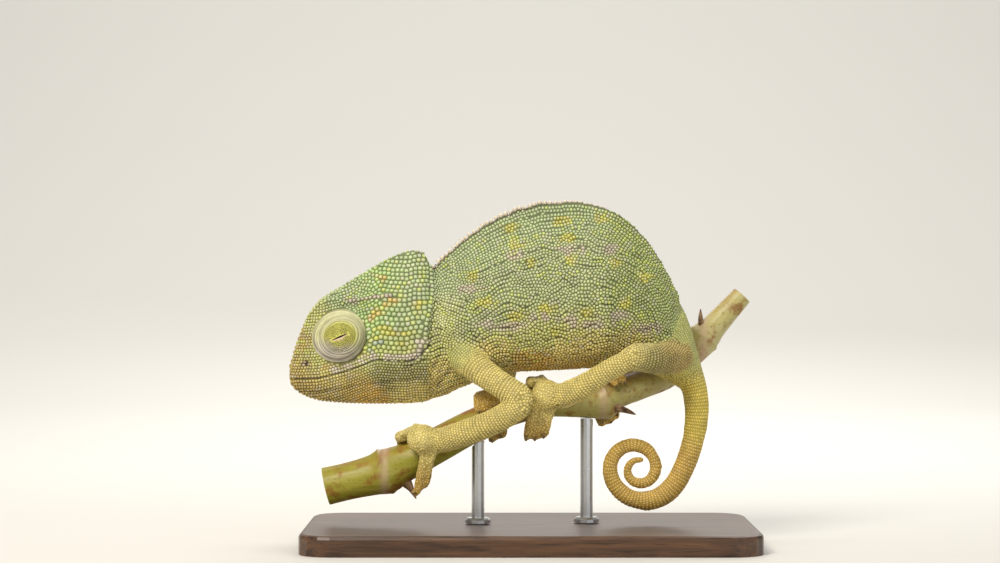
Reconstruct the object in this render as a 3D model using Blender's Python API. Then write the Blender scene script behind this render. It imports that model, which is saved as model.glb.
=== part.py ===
"""A common chameleon, life size, gripping a cut stem on a plain display stand.

The animal faces -X and its left side faces -Y. +Z is up, and the origin is the middle of the
underside of the stand's base. Sizes below are millimetres; meshes are made in metres.
The body is one long loft from the neck to the tip of the tail, parted by thin cuts. The head is a
second loft, parted along the mouth. Limbs and toes are tapered tubes that follow smooth curves.
"""

import math

import bmesh
import bpy
from mathutils import Matrix, Vector

MM = 0.001
GAP = 0.3          # clear space between touching pieces
OVERCUT = 3.0      # how far a cutter runs past what it cuts
WELD = 0.003       # points closer than this are one point
SHARP = math.radians(50.0)   # edges that turn more than this stay sharp
LEAST_LEFT = 0.02  # a cut that leaves less of a solid than this has failed
SLACK = 0.001      # how far a volume may be off when a Boolean's result is judged

# Back of the trunk: one arch, shallow towards the neck and steep over the hips.
BACK_TOP_X = 8.0
BACK_TOP_Z = 86.0
BACK_FRONT_FALL = 16.25    # fall at BACK_FRONT_REACH ahead of the top
BACK_FRONT_REACH = 32.0
BACK_REAR_FALL = 38.0      # fall at BACK_REAR_REACH behind the top
BACK_REAR_REACH = 34.5
BACK_REAR_POWER = 2.9

# Trunk stations: (x on the back, x and z on the belly, half width, where widest: 0 back to 1 belly).
BODY_STATIONS = (
    (-29.5, -31.0, 36.8, 7.6, 0.55),
    (-23.5, -24.5, 35.9, 8.4, 0.56),
    (-18.0, -18.0, 38.1, 9.2, 0.58),
    (-12.0, -11.5, 41.2, 10.4, 0.60),
    (-3.75, -4.5, 42.7, 11.8, 0.62),
    (8.0, 5.5, 43.1, 13.0, 0.63),
    (18.5, 15.0, 43.6, 12.8, 0.62),
    (27.0, 22.0, 43.7, 11.6, 0.60),
    (33.0, 27.5, 43.2, 9.8, 0.57),
    (37.5, 31.0, 42.0, 7.9, 0.54),
    (40.6, 34.0, 40.4, 6.2, 0.52),
)
RINGS_PER_STATION = 2
BODY_SIDES = 18
NECK_END = 1.9             # station number where the neck ends
BODY_CUT = 0.05            # part of a station's spacing that the cut behind the neck takes
VENT_CUT = 0.08            # the same at the vent
BACK_EDGE = 0.95           # profile power at the back: near 1 is a tent-like keel
BELLY_EDGE = 0.55          # profile power at the belly: near 0.5 is round

# Tail: starts under the vent, hangs down, then curls ever tighter under itself.
TAIL_START = (40.6, 40.5)
TAIL_LENGTH = 84.0
TAIL_HEADING = math.radians(-72.6)
TAIL_CURL = (0.046, 0.033, 0.019, 0.118, 0.109, 0.175, 0.173, 0.291, 0.398)  # turn per mm, evenly spaced
TAIL_DEPTH = (7.0, 6.35, 5.95, 5.8, 4.8, 4.2, 3.85, 3.15, 1.9)                # evenly spaced
TAIL_FLATNESS = 0.92       # width over depth
TAIL_LEAN = 1.6            # the tip lies this much nearer the left side than the root
TAIL_RINGS = 48
TAIL_SIDES_STEP = 2        # the tail keeps every second side of the trunk's rings
TAIL_CUTS = (0.16, 0.45, 0.76)   # parts of its length where it is parted
TAIL_ROOT_START = 0.012    # part of its length where its rings take over from the trunk's
TAIL_RING_BIAS = 0.85      # less of this spaces the rings closer towards the tip
TAIL_STEPS = 400           # steps along its path

# Head outline seen from the side: (x, top z, throat z, half width, blend of snout 0 to temple 1).
HEAD_STATIONS = (
    (-60.3, 43.4, 40.2, 1.5, 0.0),
    (-59.5, 45.6, 39.2, 2.7, 0.0),
    (-58.3, 50.0, 38.2, 3.7, 0.0),
    (-55.6, 56.6, 36.8, 4.9, 0.0),
    (-53.0, 60.5, 36.0, 5.8, 0.1),
    (-48.1, 63.7, 35.5, 7.0, 0.35),
    (-44.1, 66.2, 35.3, 8.0, 0.6),
    (-39.5, 68.9, 35.2, 9.0, 0.85),
    (-34.0, 72.0, 35.2, 9.6, 1.0),
    (-28.8, 73.5, 35.3, 9.7, 1.0),
    (-26.4, 72.8, 35.6, 9.5, 1.0),
    (-25.2, 70.2, 35.8, 9.3, 1.0),
    (-24.0, 66.4, 36.1, 9.1, 1.0),
    (-21.0, 60.0, 36.8, 8.6, 1.0),
)
HEAD_ROWS = 8
HEAD_LONG_STEP = 3.0       # stations further apart than this get a ring between them
# Sections of the head: (part of the height from the top, part of the half width).
SNOUT_SECTION = ((0.0, 0.40), (0.12, 0.74), (0.30, 0.90), (0.52, 1.0), (0.72, 0.97), (0.88, 0.74),
                 (1.0, 0.26))
TEMPLE_SECTION = ((0.0, 0.07), (0.14, 0.42), (0.30, 0.80), (0.42, 0.97), (0.58, 1.0), (0.76, 0.90),
                  (0.92, 0.60), (1.0, 0.22))
CASQUE_EDGE = ((-24.6, 76.0), (-24.4, 70.2), (-23.9, 66.5), (-23.7, 63.1), (-24.3, 58.7), (-25.1, 54.5),
               (-25.5, 50.2), (-24.9, 46.0), (-24.8, 33.0))
MOUTH_LINE = ((-64.0, 41.5), (-52.5, 41.6), (-46.2, 43.2), (-40.8, 45.2), (-37.4, 46.3), (-34.1, 46.0),
              (-29.1, 45.5), (-25.2, 48.9), (-20.0, 53.0))
CUT_REACH = 20.0           # half width of the head's cutters
CUT_FLOOR, CUT_CEILING = 20.0, 90.0

# Eyes: a scaly turret on each side, with a small almond opening over the eyeball.
EYE_CENTRE = (-46.85, 52.0)
EYE_ROOT_Y = 2.6
EYE_STRETCH = (1.0, 0.9)       # turret radii along the slit and across it, over the profile's
TURRET_PROFILE = ((7.0, 1.6), (7.05, 3.8), (6.5, 5.4), (5.5, 6.6), (4.3, 7.7), (2.9, 8.5), (1.4, 8.9))
TURRET_TOP = 9.0
TURRET_SIDES = 14
EYEBALL_RADIUS = 3.9
LID_THICKNESS = 0.6
SLIT_LENGTH = 4.4
SLIT_HEIGHT = 0.8
SLIT_TURN = math.radians(23.0)
SLIT_ROUNDING = 0.3        # how far the slit's ends are from plain ellipse ends
SLIT_CUT = (-3.5, 2.0)     # its cutter's reach from the turret's top
SLIT_STEPS = 6
SOCKET_DEPTH = 0.3
POCKET_GAP = 0.24          # clear space round the eyeball

# Stem it grips: (x, y, z, radius). The swellings are its leaf joints.
STEM_ROUTE = (
    (-51.0, 0.0, 14.4, 4.85), (-45.0, 0.0, 15.8, 4.8), (-39.2, 0.0, 17.2, 5.2), (-36.0, 0.0, 18.2, 5.9),
    (-33.4, 0.0, 19.4, 5.2), (-29.0, 0.0, 21.4, 4.6), (-22.2, 0.0, 25.2, 4.5), (-14.0, 0.0, 29.6, 4.25),
    (-5.0, 0.2, 33.4, 4.0), (3.75, 0.8, 35.4, 3.9), (11.0, 1.6, 35.4, 3.9), (16.4, 2.6, 35.3, 4.2),
    (18.6, 3.2, 35.8, 4.9), (21.2, 4.2, 37.2, 4.0), (28.2, 7.4, 39.6, 3.8), (35.5, 11.2, 42.4, 3.7),
    (42.4, 14.0, 48.6, 3.9), (44.6, 14.6, 51.2, 4.3), (47.2, 15.0, 54.0, 3.4), (54.5, 15.6, 62.0, 2.7),
)
STEM_SIDES = 12
SPURS = (                  # leaf scars: (root x, y, z), (tip x, y, z), root radius
    ((-33.0, -1.0, 17.5), (-28.4, -1.6, 11.4), 1.9),
    ((18.5, 1.6, 34.2), (26.4, -1.4, 32.4), 1.7),
    ((45.0, 14.0, 52.0), (43.6, 11.6, 58.6), 1.3),
)
SPUR_BEND = 0.5            # sideways, at the middle
SPUR_WAIST = 0.55          # size at the middle, over the root's
SPUR_TIP = 0.3
SPUR_SIDES = 7
SPUR_STEPS = 2

# Display stand.
BASE_SIZE = (112.0, 62.0, 5.0)
BASE_CORNER = 8.0
BASE_BEVEL = 0.9
BASE_CORNER_STEPS = 4
ROD_RADIUS = 1.6
ROD_COLLAR_RADIUS = 3.2
ROD_COLLAR_HEIGHT = 1.6
ROD_COLLAR_EASE = 0.5      # chamfer of the collar's upper edge
ROD_X = (-13.0, 14.2)
ROD_SIDES = 12

# Limbs: an upper and a lower route of (x, y, z, radius) each. y is the distance from the middle plane.
ARM_LEFT = (
    ((-18.6, 4.0, 49.2, 4.8), (-12.6, 9.4, 43.9, 3.8), (-7.2, 12.4, 40.2, 3.4), (-2.4, 13.8, 37.4, 3.4)),
    ((-2.3, 13.8, 35.4, 3.3), (-8.5, 11.2, 31.4, 3.35), (-16.0, 8.0, 28.2, 3.4), (-22.6, 5.0, 26.0, 3.3)),
)
ARM_RIGHT = (
    ((-18.6, 4.0, 49.2, 4.8), (-14.4, 10.2, 50.6, 3.9), (-9.6, 15.8, 51.8, 3.4), (-5.0, 19.6, 52.2, 3.4)),
    ((-4.6, 19.8, 50.4, 3.3), (-5.8, 16.2, 45.0, 3.35), (-7.2, 12.6, 40.0, 3.35), (-8.6, 9.6, 36.8, 3.2)),
)
LEG_LEFT = (
    ((37.0, 2.6, 47.2, 4.6), (32.4, 10.0, 46.6, 4.1), (28.6, 14.0, 46.8, 3.8), (25.0, 16.2, 47.4, 3.4)),
    ((24.6, 16.0, 46.8, 3.0), (18.5, 13.2, 43.5, 2.8), (12.6, 10.2, 39.6, 3.15), (7.0, 6.8, 37.0, 3.4)),
)
LEG_RIGHT = (
    ((36.0, 2.6, 48.5, 4.6), (34.6, 9.5, 52.6, 4.1), (33.0, 15.0, 56.2, 3.8), (30.8, 18.8, 58.6, 3.4)),
    ((30.6, 18.8, 57.6, 3.0), (28.2, 17.6, 52.2, 2.8), (25.6, 15.6, 46.8, 3.15), (22.8, 12.6, 42.2, 3.4)),
)
LIMB_SIDES = 10
LIMB_STEPS = 2
LIMB_END_RINGS = 1         # rings that round off each end

# Feet: two mittens of toes wrapped round the stem. Angles run from the stem's top towards the limb's side.
# (x on the stem, palm angle, outer bundle, inner bundle), a bundle being
# (toes, angle at the root and tip, place along the stem at the root and tip, how far the tip stands off).
FEET = {
    "front_left": (-25.0, 62.0, (2, 84.0, 156.0, 0.6, -7.0, 1.8), (3, 30.0, -104.0, -1.8, -4.8, 0.0)),
    "front_right": (-7.4, 58.0, (2, 78.0, 165.0, 0.0, -3.2, 0.2), (3, 28.0, -72.0, -0.6, -2.6, 0.2)),
    "hind_left": (3.8, 72.0, (3, 84.0, 152.0, -0.4, -4.2, 4.6), (2, 34.0, -112.0, -1.2, -2.4, 0.0)),
    "hind_right": (21.0, 58.0, (3, 78.0, 166.0, 0.0, -2.4, 0.4), (2, 30.0, -66.0, 0.0, 0.6, 0.3)),
}
PALM_RADII = (4.3, 4.4, 3.0)   # along the stem, round it, out from it
PALM_SINK = 0.2                # into the stem's clear space, which is cut away again
PALM_SEGMENTS = (9, 6)
TOE_WIDTH = 3.4
TOE_SPACING = {2: 2.6, 3: 2.2}
TOE_DEPTH = 3.3
TOE_PROFILE = ((0.0, 1.0), (0.3, 0.97), (0.6, 0.92), (0.86, 0.88), (1.0, 0.58))   # part of length, size
TOE_END = 0.8              # size that the claw's root is set by
TOE_KNUCKLE = 0.06         # how much the middle swells
TOE_TWIST = 0.2            # radians, for each mm from the bundle's middle
TOE_STAGGER = 1.6          # degrees that a toe stops short, for each mm from the bundle's middle
TOE_SIDES = 6
CLAW_LENGTH = 1.9
CLAW_ROOT = 0.62
CLAW_TIP = 0.26
CLAW_START = 0.7           # how far inside the toe it begins
CLAW_REACH = 6.0           # radius that it bends round
CLAW_HOOK = 0.25           # how far it leans in to the stem
CLAW_RINGS = 1
CLAW_SIDES = 5

SKIN_COLOUR = "#A9AE63"
BELLY_COLOUR = "#B59A45"
FOOT_COLOUR = "#C7A552"
TAIL_COLOUR = "#BFA441"
EYE_COLOUR = "#1C160E"
STEM_COLOUR = "#98A02A"
BASE_COLOUR = "#2B211B"
ROD_COLOUR = "#B9BBBD"


def linear(hex_colour):
    """sRGB hex to linear RGBA."""
    parts = [int(hex_colour[i:i + 2], 16) / 255.0 for i in (1, 3, 5)]
    return [c / 12.92 if c <= 0.04045 else ((c + 0.055) / 1.055) ** 2.4 for c in parts] + [1.0]


def material(name, hex_colour, roughness, metallic=0.0):
    made = bpy.data.materials.new(name)
    made.use_nodes = True
    shader = made.node_tree.nodes["Principled BSDF"]
    shader.inputs["Base Color"].default_value = linear(hex_colour)
    shader.inputs["Roughness"].default_value = roughness
    shader.inputs["Metallic"].default_value = metallic
    return made


def curve_through(points, at):
    """A smooth curve through evenly numbered points; at runs from 0 to the last point's number."""
    last = len(points) - 1
    i = min(int(at), last - 1)
    t = at - i
    p1, p2 = points[i], points[i + 1]
    p0 = points[i - 1] if i > 0 else [2 * a - b for a, b in zip(p1, p2)]
    p3 = points[i + 2] if i + 2 <= last else [2 * b - a for a, b in zip(p1, p2)]
    return [
        0.5 * (2 * b + (c - a) * t + (2 * a - 5 * b + 4 * c - d) * t * t + (3 * b - a - 3 * c + d) * t ** 3)
        for a, b, c, d in zip(p0, p1, p2, p3)
    ]


def table(rows, key):
    """The other columns of rows, which are sorted by their first one, at key, by a smooth curve."""
    i = 0
    while i < len(rows) - 2 and rows[i + 1][0] < key:
        i += 1
    width = rows[i + 1][0] - rows[i][0]
    t = (key - rows[i][0]) / width
    values = []
    for column in range(1, len(rows[0])):
        def slope(k):
            lo, hi = max(k - 1, 0), min(k + 1, len(rows) - 1)
            return (rows[hi][column] - rows[lo][column]) / (rows[hi][0] - rows[lo][0])
        a, b = rows[i][column], rows[i + 1][column]
        m0, m1 = slope(i) * width, slope(i + 1) * width
        values.append((2 * t ** 3 - 3 * t * t + 1) * a + (t ** 3 - 2 * t * t + t) * m0
                      + (3 * t * t - 2 * t ** 3) * b + (t ** 3 - t * t) * m1)
    return values


def finish(name, mesh_data, paint):
    """Turn a closed bmesh outwards and make it an object."""
    bmesh.ops.recalc_face_normals(mesh_data, faces=mesh_data.faces)
    if mesh_data.calc_volume(signed=True) < 0:
        bmesh.ops.reverse_faces(mesh_data, faces=mesh_data.faces)
    mesh = bpy.data.meshes.new(name)
    mesh_data.to_mesh(mesh)
    mesh_data.free()
    mesh.materials.append(paint)
    mesh.shade_smooth()
    mesh.set_sharp_from_angle(angle=SHARP)
    node = bpy.data.objects.new(name, mesh)
    bpy.context.scene.collection.objects.link(node)
    return node


def loft(name, rings, paint):
    """A closed solid through rings of points in millimetres, its ends closed with fans."""
    shape = bmesh.new()
    loops = [[shape.verts.new(Vector(p) * MM) for p in ring] for ring in rings]
    count = len(rings[0])
    for near, far in zip(loops, loops[1:]):
        for k in range(count):
            shape.faces.new((near[k], near[(k + 1) % count], far[(k + 1) % count], far[k]))
    for loop in (loops[0], loops[-1]):
        middle = shape.verts.new(sum((v.co for v in loop), Vector()) / count)
        for k in range(count):
            shape.faces.new((loop[k], loop[(k + 1) % count], middle))
    return finish(name, shape, paint)


def prism(name, outline):
    """A cutter whose x-z outline runs right through the head."""
    rings = [[(x, y, z) for x, z in outline] for y in (-CUT_REACH, CUT_REACH)]
    shape = bmesh.new()
    near, far = ([shape.verts.new(Vector(p) * MM) for p in ring] for ring in rings)
    for k in range(len(near)):
        shape.faces.new((near[k], near[(k + 1) % len(near)], far[(k + 1) % len(far)], far[k]))
    shape.faces.new(near)
    shape.faces.new(far)
    return finish(name, shape, CUTTER_PAINT)


def grown(node, by):
    """A copy of a node pushed out along its normals, used as a cutter that leaves a gap."""
    shape = bmesh.new()
    shape.from_mesh(node.data)
    shape.normal_update()
    for vert in shape.verts:
        vert.co += vert.normal * by * MM
    return finish(node.name + "_grown", shape, CUTTER_PAINT)


def volume(mesh):
    shape = bmesh.new()
    shape.from_mesh(mesh)
    value = shape.calc_volume(signed=True)
    shape.free()
    return value


def combine(node, other, operation):
    """Apply a Boolean of other to node and remove other.

    EXACT comes first. Where its result is inside out, empty or too big, MANIFOLD makes the cut.
    """
    before, extra = volume(node.data), volume(other.data)
    if operation == "DIFFERENCE":
        least, most = before * LEAST_LEFT, before * (1 + SLACK)
    else:
        least, most = before * (1 - SLACK), before + extra
    for solver in ("EXACT", "MANIFOLD"):
        step = node.modifiers.new("cut", "BOOLEAN")
        step.solver = solver
        step.operation = operation
        step.object = other
        bpy.context.view_layer.update()
        mesh = bpy.data.meshes.new_from_object(node.evaluated_get(bpy.context.evaluated_depsgraph_get()))
        node.modifiers.clear()
        shape = bmesh.new()
        shape.from_mesh(mesh)
        bmesh.ops.remove_doubles(shape, verts=shape.verts, dist=WELD * MM)
        bmesh.ops.dissolve_degenerate(shape, edges=shape.edges, dist=WELD * MM)
        closed = all(edge.is_manifold for edge in shape.edges)
        shape.to_mesh(mesh)
        shape.free()
        if closed and least < volume(mesh) < most:
            break
    else:
        print("no clean", operation, "of", other.name, "and", node.name)
    node.data = mesh
    bpy.data.objects.remove(other)
    return node


def clear_of(node, others, by=GAP):
    """Cut node back so that it stays off each of the others."""
    for other in others:
        combine(node, grown(other, by), "DIFFERENCE")
    return node


# ---------------------------------------------------------------- body and tail

def back_height(x):
    if x < BACK_TOP_X:
        return BACK_TOP_Z - BACK_FRONT_FALL * ((BACK_TOP_X - x) / BACK_FRONT_REACH) ** 2
    return BACK_TOP_Z - BACK_REAR_FALL * ((x - BACK_TOP_X) / BACK_REAR_REACH) ** BACK_REAR_POWER


def body_ring(back, belly, half_width, widest, back_edge, sides, shift_y=0.0):
    """One closed ring between a point on the back and one on the belly, both (x, z)."""
    ring = []
    skew = math.log(0.5) / math.log(widest)
    for k in range(sides):
        turn = 2 * math.pi * k / sides
        down = (1 - math.cos(turn)) / 2
        power = back_edge + (BELLY_EDGE - back_edge) * down
        out = half_width * max(math.sin(math.pi * down ** skew), 0.0) ** power
        side = -1 if turn > math.pi else 1
        x = back[0] + (belly[0] - back[0]) * down
        z = back[1] + (belly[1] - back[1]) * down
        ring.append((x, side * out + shift_y, z))
    return ring


def tail_path():
    """Points down the middle of the tail: (part of length, x, z, heading)."""
    x, z = TAIL_START
    heading = TAIL_HEADING
    path = []
    for n in range(TAIL_STEPS + 1):
        part = n / TAIL_STEPS
        path.append((part, x, z, heading))
        at = part * (len(TAIL_CURL) - 1)
        i = min(int(at), len(TAIL_CURL) - 2)
        turn = TAIL_CURL[i] + (TAIL_CURL[i + 1] - TAIL_CURL[i]) * (at - i)
        step = TAIL_LENGTH / TAIL_STEPS
        x += math.cos(heading) * step
        z += math.sin(heading) * step
        heading -= turn * step
    return path


def tail_ring(path, part, sides):
    _, x, z, heading = path[round(part * (len(path) - 1))]
    depth = curve_through([(d,) for d in TAIL_DEPTH], part * (len(TAIL_DEPTH) - 1))[0]
    up = (-math.sin(heading), math.cos(heading))
    half = depth / 2
    back = (x + up[0] * half, z + up[1] * half)
    belly = (x - up[0] * half, z - up[1] * half)
    return body_ring(back, belly, half * TAIL_FLATNESS, 0.5, BELLY_EDGE, sides, -TAIL_LEAN * part ** 2)


def body_rings(first, last):
    """Rings of the neck and trunk between two station numbers."""
    count = max(2, round((last - first) * RINGS_PER_STATION))
    rings = []
    end = len(BODY_STATIONS) - 1
    for n in range(count + 1):
        at = first + (last - first) * n / count
        back_x, belly_x, belly_z, half_width, widest = curve_through(BODY_STATIONS, at)
        back_edge = BACK_EDGE + (BELLY_EDGE - BACK_EDGE) * max(0.0, (at / end - 0.5) * 2) ** 3
        rings.append(body_ring((back_x, back_height(back_x)), (belly_x, belly_z), half_width, widest,
                               back_edge, BODY_SIDES))
    return rings


def make_body():
    end = float(len(BODY_STATIONS) - 1)
    vent = end - 1.0
    pieces = {
        "neck": loft("neck", body_rings(0.0, NECK_END), SKIN),
        "trunk": loft("trunk", body_rings(NECK_END + BODY_CUT, vent), SKIN),
    }
    path = tail_path()
    root = body_rings(vent + VENT_CUT, end) + tail_rings(path, TAIL_ROOT_START, TAIL_CUTS[0], BODY_SIDES)
    pieces["tail_root"] = loft("tail_root", root, TAIL)
    cuts = TAIL_CUTS + (1.0,)
    sides = BODY_SIDES // TAIL_SIDES_STEP
    for name, start, stop in zip(("tail_bow", "tail_coil", "tail_tip"), cuts, cuts[1:]):
        pieces[name] = loft(name, tail_rings(path, start + GAP / TAIL_LENGTH, stop, sides), TAIL)
    return pieces


def tail_rings(path, start, stop, sides):
    count = max(3, round((stop - start) * TAIL_RINGS * (TAIL_RING_BIAS + start)))
    return [tail_ring(path, start + (stop - start) * n / count, sides) for n in range(count + 1)]


# ---------------------------------------------------------------- head

def head_ring(x):
    top, low, half_width, blend = table(HEAD_STATIONS, x)
    side = []
    for row in range(HEAD_ROWS + 1):
        down = (1 - math.cos(math.pi * row / HEAD_ROWS)) / 2
        snout = table(SNOUT_SECTION, down)[0]
        temple = table(TEMPLE_SECTION, down)[0]
        out = half_width * (snout + (temple - snout) * blend)
        side.append((x, out, top + (low - top) * down))
    return side + [(px, -py, pz) for px, py, pz in reversed(side)]


def make_head():
    xs = [HEAD_STATIONS[0][0]]
    for a, b in zip(HEAD_STATIONS, HEAD_STATIONS[1:]):
        steps = 2 if b[0] - a[0] > HEAD_LONG_STEP else 1
        xs += [a[0] + (b[0] - a[0]) * (n + 1) / steps for n in range(steps)]
    head = loft("head", [head_ring(x) for x in xs], SKIN)
    behind = [(OVERCUT * 4, CASQUE_EDGE[0][1])] + list(CASQUE_EDGE) + [(OVERCUT * 4, CASQUE_EDGE[-1][1])]
    combine(head, prism("behind_casque", behind), "DIFFERENCE")
    jaw = bpy.data.objects.new("lower_jaw", head.data.copy())
    bpy.context.scene.collection.objects.link(jaw)
    steps = (len(MOUTH_LINE) - 1) * 2
    lips = [curve_through(MOUTH_LINE, n / 2) for n in range(steps + 1)]
    below = [(x, z + GAP / 2) for x, z in lips] + [(lips[-1][0], CUT_FLOOR), (lips[0][0], CUT_FLOOR)]
    above = [(x, z - GAP / 2) for x, z in lips] + [(lips[-1][0], CUT_CEILING), (lips[0][0], CUT_CEILING)]
    combine(head, prism("below_mouth", below), "DIFFERENCE")
    combine(jaw, prism("above_mouth", above), "DIFFERENCE")
    return head, jaw


def turret_rings(side, extra=0.0, deeper=0.0):
    rings = []
    profile = ((TURRET_PROFILE[0][0], -deeper),) + TURRET_PROFILE
    for radius, height in profile:
        ring = []
        for k in range(TURRET_SIDES):
            turn = 2 * math.pi * k / TURRET_SIDES
            along = (radius + extra) * EYE_STRETCH[0] * math.cos(turn)
            across = (radius + extra) * EYE_STRETCH[1] * math.sin(turn)
            x = EYE_CENTRE[0] + along * math.cos(SLIT_TURN) - across * math.sin(SLIT_TURN)
            z = EYE_CENTRE[1] + along * math.sin(SLIT_TURN) + across * math.cos(SLIT_TURN)
            ring.append((x, side * (EYE_ROOT_Y + height + (extra if height > 2 else 0)), z))
        rings.append(ring)
    return rings


def ball(name, centre, radius, paint, segments=9, rings=6):
    shape = bmesh.new()
    bmesh.ops.create_uvsphere(shape, u_segments=segments, v_segments=rings, radius=radius * MM,
                              matrix=Matrix.Translation(Vector(centre) * MM))
    return finish(name, shape, paint)


def slit_cutter(side):
    """An almond prism through the lids, along the line of sight."""
    outline = []
    for k in range(2 * SLIT_STEPS):
        turn = math.pi * k / SLIT_STEPS
        along = SLIT_LENGTH / 2 * math.cos(turn)
        across = SLIT_HEIGHT / 2 * math.sin(turn) * abs(math.sin(turn)) ** SLIT_ROUNDING
        outline.append((EYE_CENTRE[0] + along * math.cos(SLIT_TURN) - across * math.sin(SLIT_TURN),
                        EYE_CENTRE[1] + along * math.sin(SLIT_TURN) + across * math.cos(SLIT_TURN)))
    rings = []
    for reach in SLIT_CUT:
        y = side * (EYE_ROOT_Y + TURRET_TOP + reach)
        rings.append([(x, y, z) for x, z in outline])
    return loft("slit", rings, CUTTER_PAINT)


def make_eye(head, side, label):
    """Turret and eyeball of one side; side is -1 for the left eye."""
    socket = loft("socket", turret_rings(side, GAP, SOCKET_DEPTH), CUTTER_PAINT)
    combine(head, socket, "DIFFERENCE")
    turret = loft("eye_turret_" + label, turret_rings(side), SKIN)
    depth = EYE_ROOT_Y + TURRET_TOP - LID_THICKNESS - EYEBALL_RADIUS
    centre = (EYE_CENTRE[0], side * depth, EYE_CENTRE[1])
    combine(turret, ball("pocket", centre, EYEBALL_RADIUS + POCKET_GAP, CUTTER_PAINT), "DIFFERENCE")
    combine(turret, slit_cutter(side), "DIFFERENCE")
    ball("eyeball_" + label, centre, EYEBALL_RADIUS, EYE)
    return turret


# ---------------------------------------------------------------- limbs and feet

def tube_rings(route, steps, sides, round_ends=0):
    """Rings round a smooth route of (x, y, z, radius), its ends rounded by some extra rings."""
    end = len(route) - 1
    places = [(n / steps, 0.0, 1.0) for n in range(end * steps + 1)]
    turns = [math.pi / 2 * (k + 1) / (round_ends + 0.5) for k in range(round_ends)]
    places = ([(0.0, -math.sin(t), math.cos(t)) for t in reversed(turns)] + places
              + [(float(end), math.sin(t), math.cos(t)) for t in turns])
    rings = []
    for at, beyond, shrink in places:
        x, y, z, radius = curve_through(route, at)
        ahead = Vector(curve_through(route, min(at + 0.05, end))[:3])
        behind = Vector(curve_through(route, max(at - 0.05, 0.0))[:3])
        along = (ahead - behind).normalized()
        side = along.cross(Vector((0, 0, 1)))
        if side.length < 0.2:
            side = along.cross(Vector((1, 0, 0)))
        side.normalize()
        up = side.cross(along)
        centre = Vector((x, y, z)) + along * beyond * radius
        rings.append([centre + (side * math.cos(a) + up * math.sin(a)) * radius * shrink
                      for a in (2 * math.pi * k / sides for k in range(sides))])
    return rings


def sided(route, side):
    return [(x, side * y, z, r) for x, y, z, r in route]


def make_limb(routes, side, names, body):
    """Upper and lower lengths of one limb; the upper stays off the body, the lower off the upper."""
    upper = loft(names[0], tube_rings(sided(routes[0], side), LIMB_STEPS, LIMB_SIDES, LIMB_END_RINGS), SKIN)
    clear_of(upper, body)
    lower = loft(names[1], tube_rings(sided(routes[1], side), LIMB_STEPS, LIMB_SIDES, LIMB_END_RINGS), FOOT)
    whole = loft("joint_space", tube_rings([(x, y, z, r + GAP) for x, y, z, r in sided(routes[0], side)],
                                           LIMB_STEPS, LIMB_SIDES, LIMB_END_RINGS), CUTTER_PAINT)
    combine(lower, whole, "DIFFERENCE")
    return lower


def stem_at(x):
    """Centre, direction and radius of the stem at an x."""
    y, z, radius = table(STEM_ROUTE, x)
    ya, za, _ = table(STEM_ROUTE, x + 0.5)
    yb, zb, _ = table(STEM_ROUTE, x - 0.5)
    along = Vector((1.0, ya - yb, za - zb)).normalized()
    return Vector((x, y, z)), along, radius


def round_stem(x, angle, out, slide, side):
    """A point beside the stem: angle from its top towards the limb's side, out from its axis."""
    centre, along, _ = stem_at(x)
    up = (Vector((0, 0, 1)) - along * along.z).normalized()
    across = Vector((0, side, 0)) - along * (along.y * side)
    across = (across - up * across.dot(up)).normalized()
    away = up * math.cos(angle) + across * math.sin(angle)
    return centre + along * slide + away * out, away, along


def toe_rings(x, side, start, stop, lane, slide_root, slide_tip, loose, extra=0.0):
    """One toe bent round the stem; lane is its place beside the others."""
    rings = []
    for part, size in TOE_PROFILE:
        angle = math.radians(start + (stop - start) * part)
        knuckle = 1.0 + TOE_KNUCKLE * math.sin(3 * math.pi * part)
        half_depth = TOE_DEPTH / 2 * size * knuckle
        slide = slide_root + (slide_tip - slide_root) * part + lane
        radius = max(stem_at(x + slide + near)[2] for near in (-TOE_WIDTH / 2, 0.0, TOE_WIDTH / 2))
        out = radius + GAP + half_depth + loose * part ** 2
        middle, away, along = round_stem(x, angle, out, slide, side)
        half_width = TOE_WIDTH / 2 * size + extra
        half_depth += extra
        rings.append([middle + along * (half_width * math.cos(a)) + away * (half_depth * math.sin(a))
                      for a in (2 * math.pi * k / TOE_SIDES + TOE_TWIST * lane for k in range(TOE_SIDES))])
    return rings


def claw_rings(x, side, start, stop, lane, slide_root, slide_tip, loose):
    """A short hooked claw that grows from a toe's tip."""
    rings = []
    turn = math.copysign(1.0, stop - start)
    for n in range(CLAW_RINGS + 1):
        part = n / CLAW_RINGS
        angle = math.radians(stop) + turn * (part * CLAW_LENGTH - CLAW_START) / CLAW_REACH
        slide = slide_tip + lane
        radius = stem_at(x + slide)[2]
        out = radius + GAP + TOE_DEPTH / 2 * TOE_END + loose + CLAW_HOOK * (1 - part)
        middle, away, along = round_stem(x, angle, out, slide, side)
        size = CLAW_ROOT + (CLAW_TIP - CLAW_ROOT) * part
        rings.append([middle + along * size * math.cos(a) + away * size * math.sin(a)
                      for a in (2 * math.pi * k / CLAW_SIDES for k in range(CLAW_SIDES))])
    return rings


def make_toes(name, x, side, spec, neighbours):
    """A bundle of toes with their claws, in one body; its neighbours are cut back round each toe."""
    toes, start, stop, slide_root, slide_tip, loose = spec
    whole = None
    for k in range(toes):
        lane = (k - (toes - 1) / 2) * TOE_SPACING[toes]
        short = abs(lane) * TOE_STAGGER * math.copysign(1.0, start - stop)
        args = (x, side, start, stop + short, lane, slide_root, slide_tip, loose)
        for neighbour in neighbours:
            combine(neighbour, loft("toe_space", toe_rings(*args, extra=GAP), CUTTER_PAINT), "DIFFERENCE")
        for part in (toe_rings(*args), claw_rings(*args)):
            piece = loft(name if whole is None else "toe_part", part, FOOT)
            whole = piece if whole is None else combine(whole, piece, "UNION")
    return whole


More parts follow.
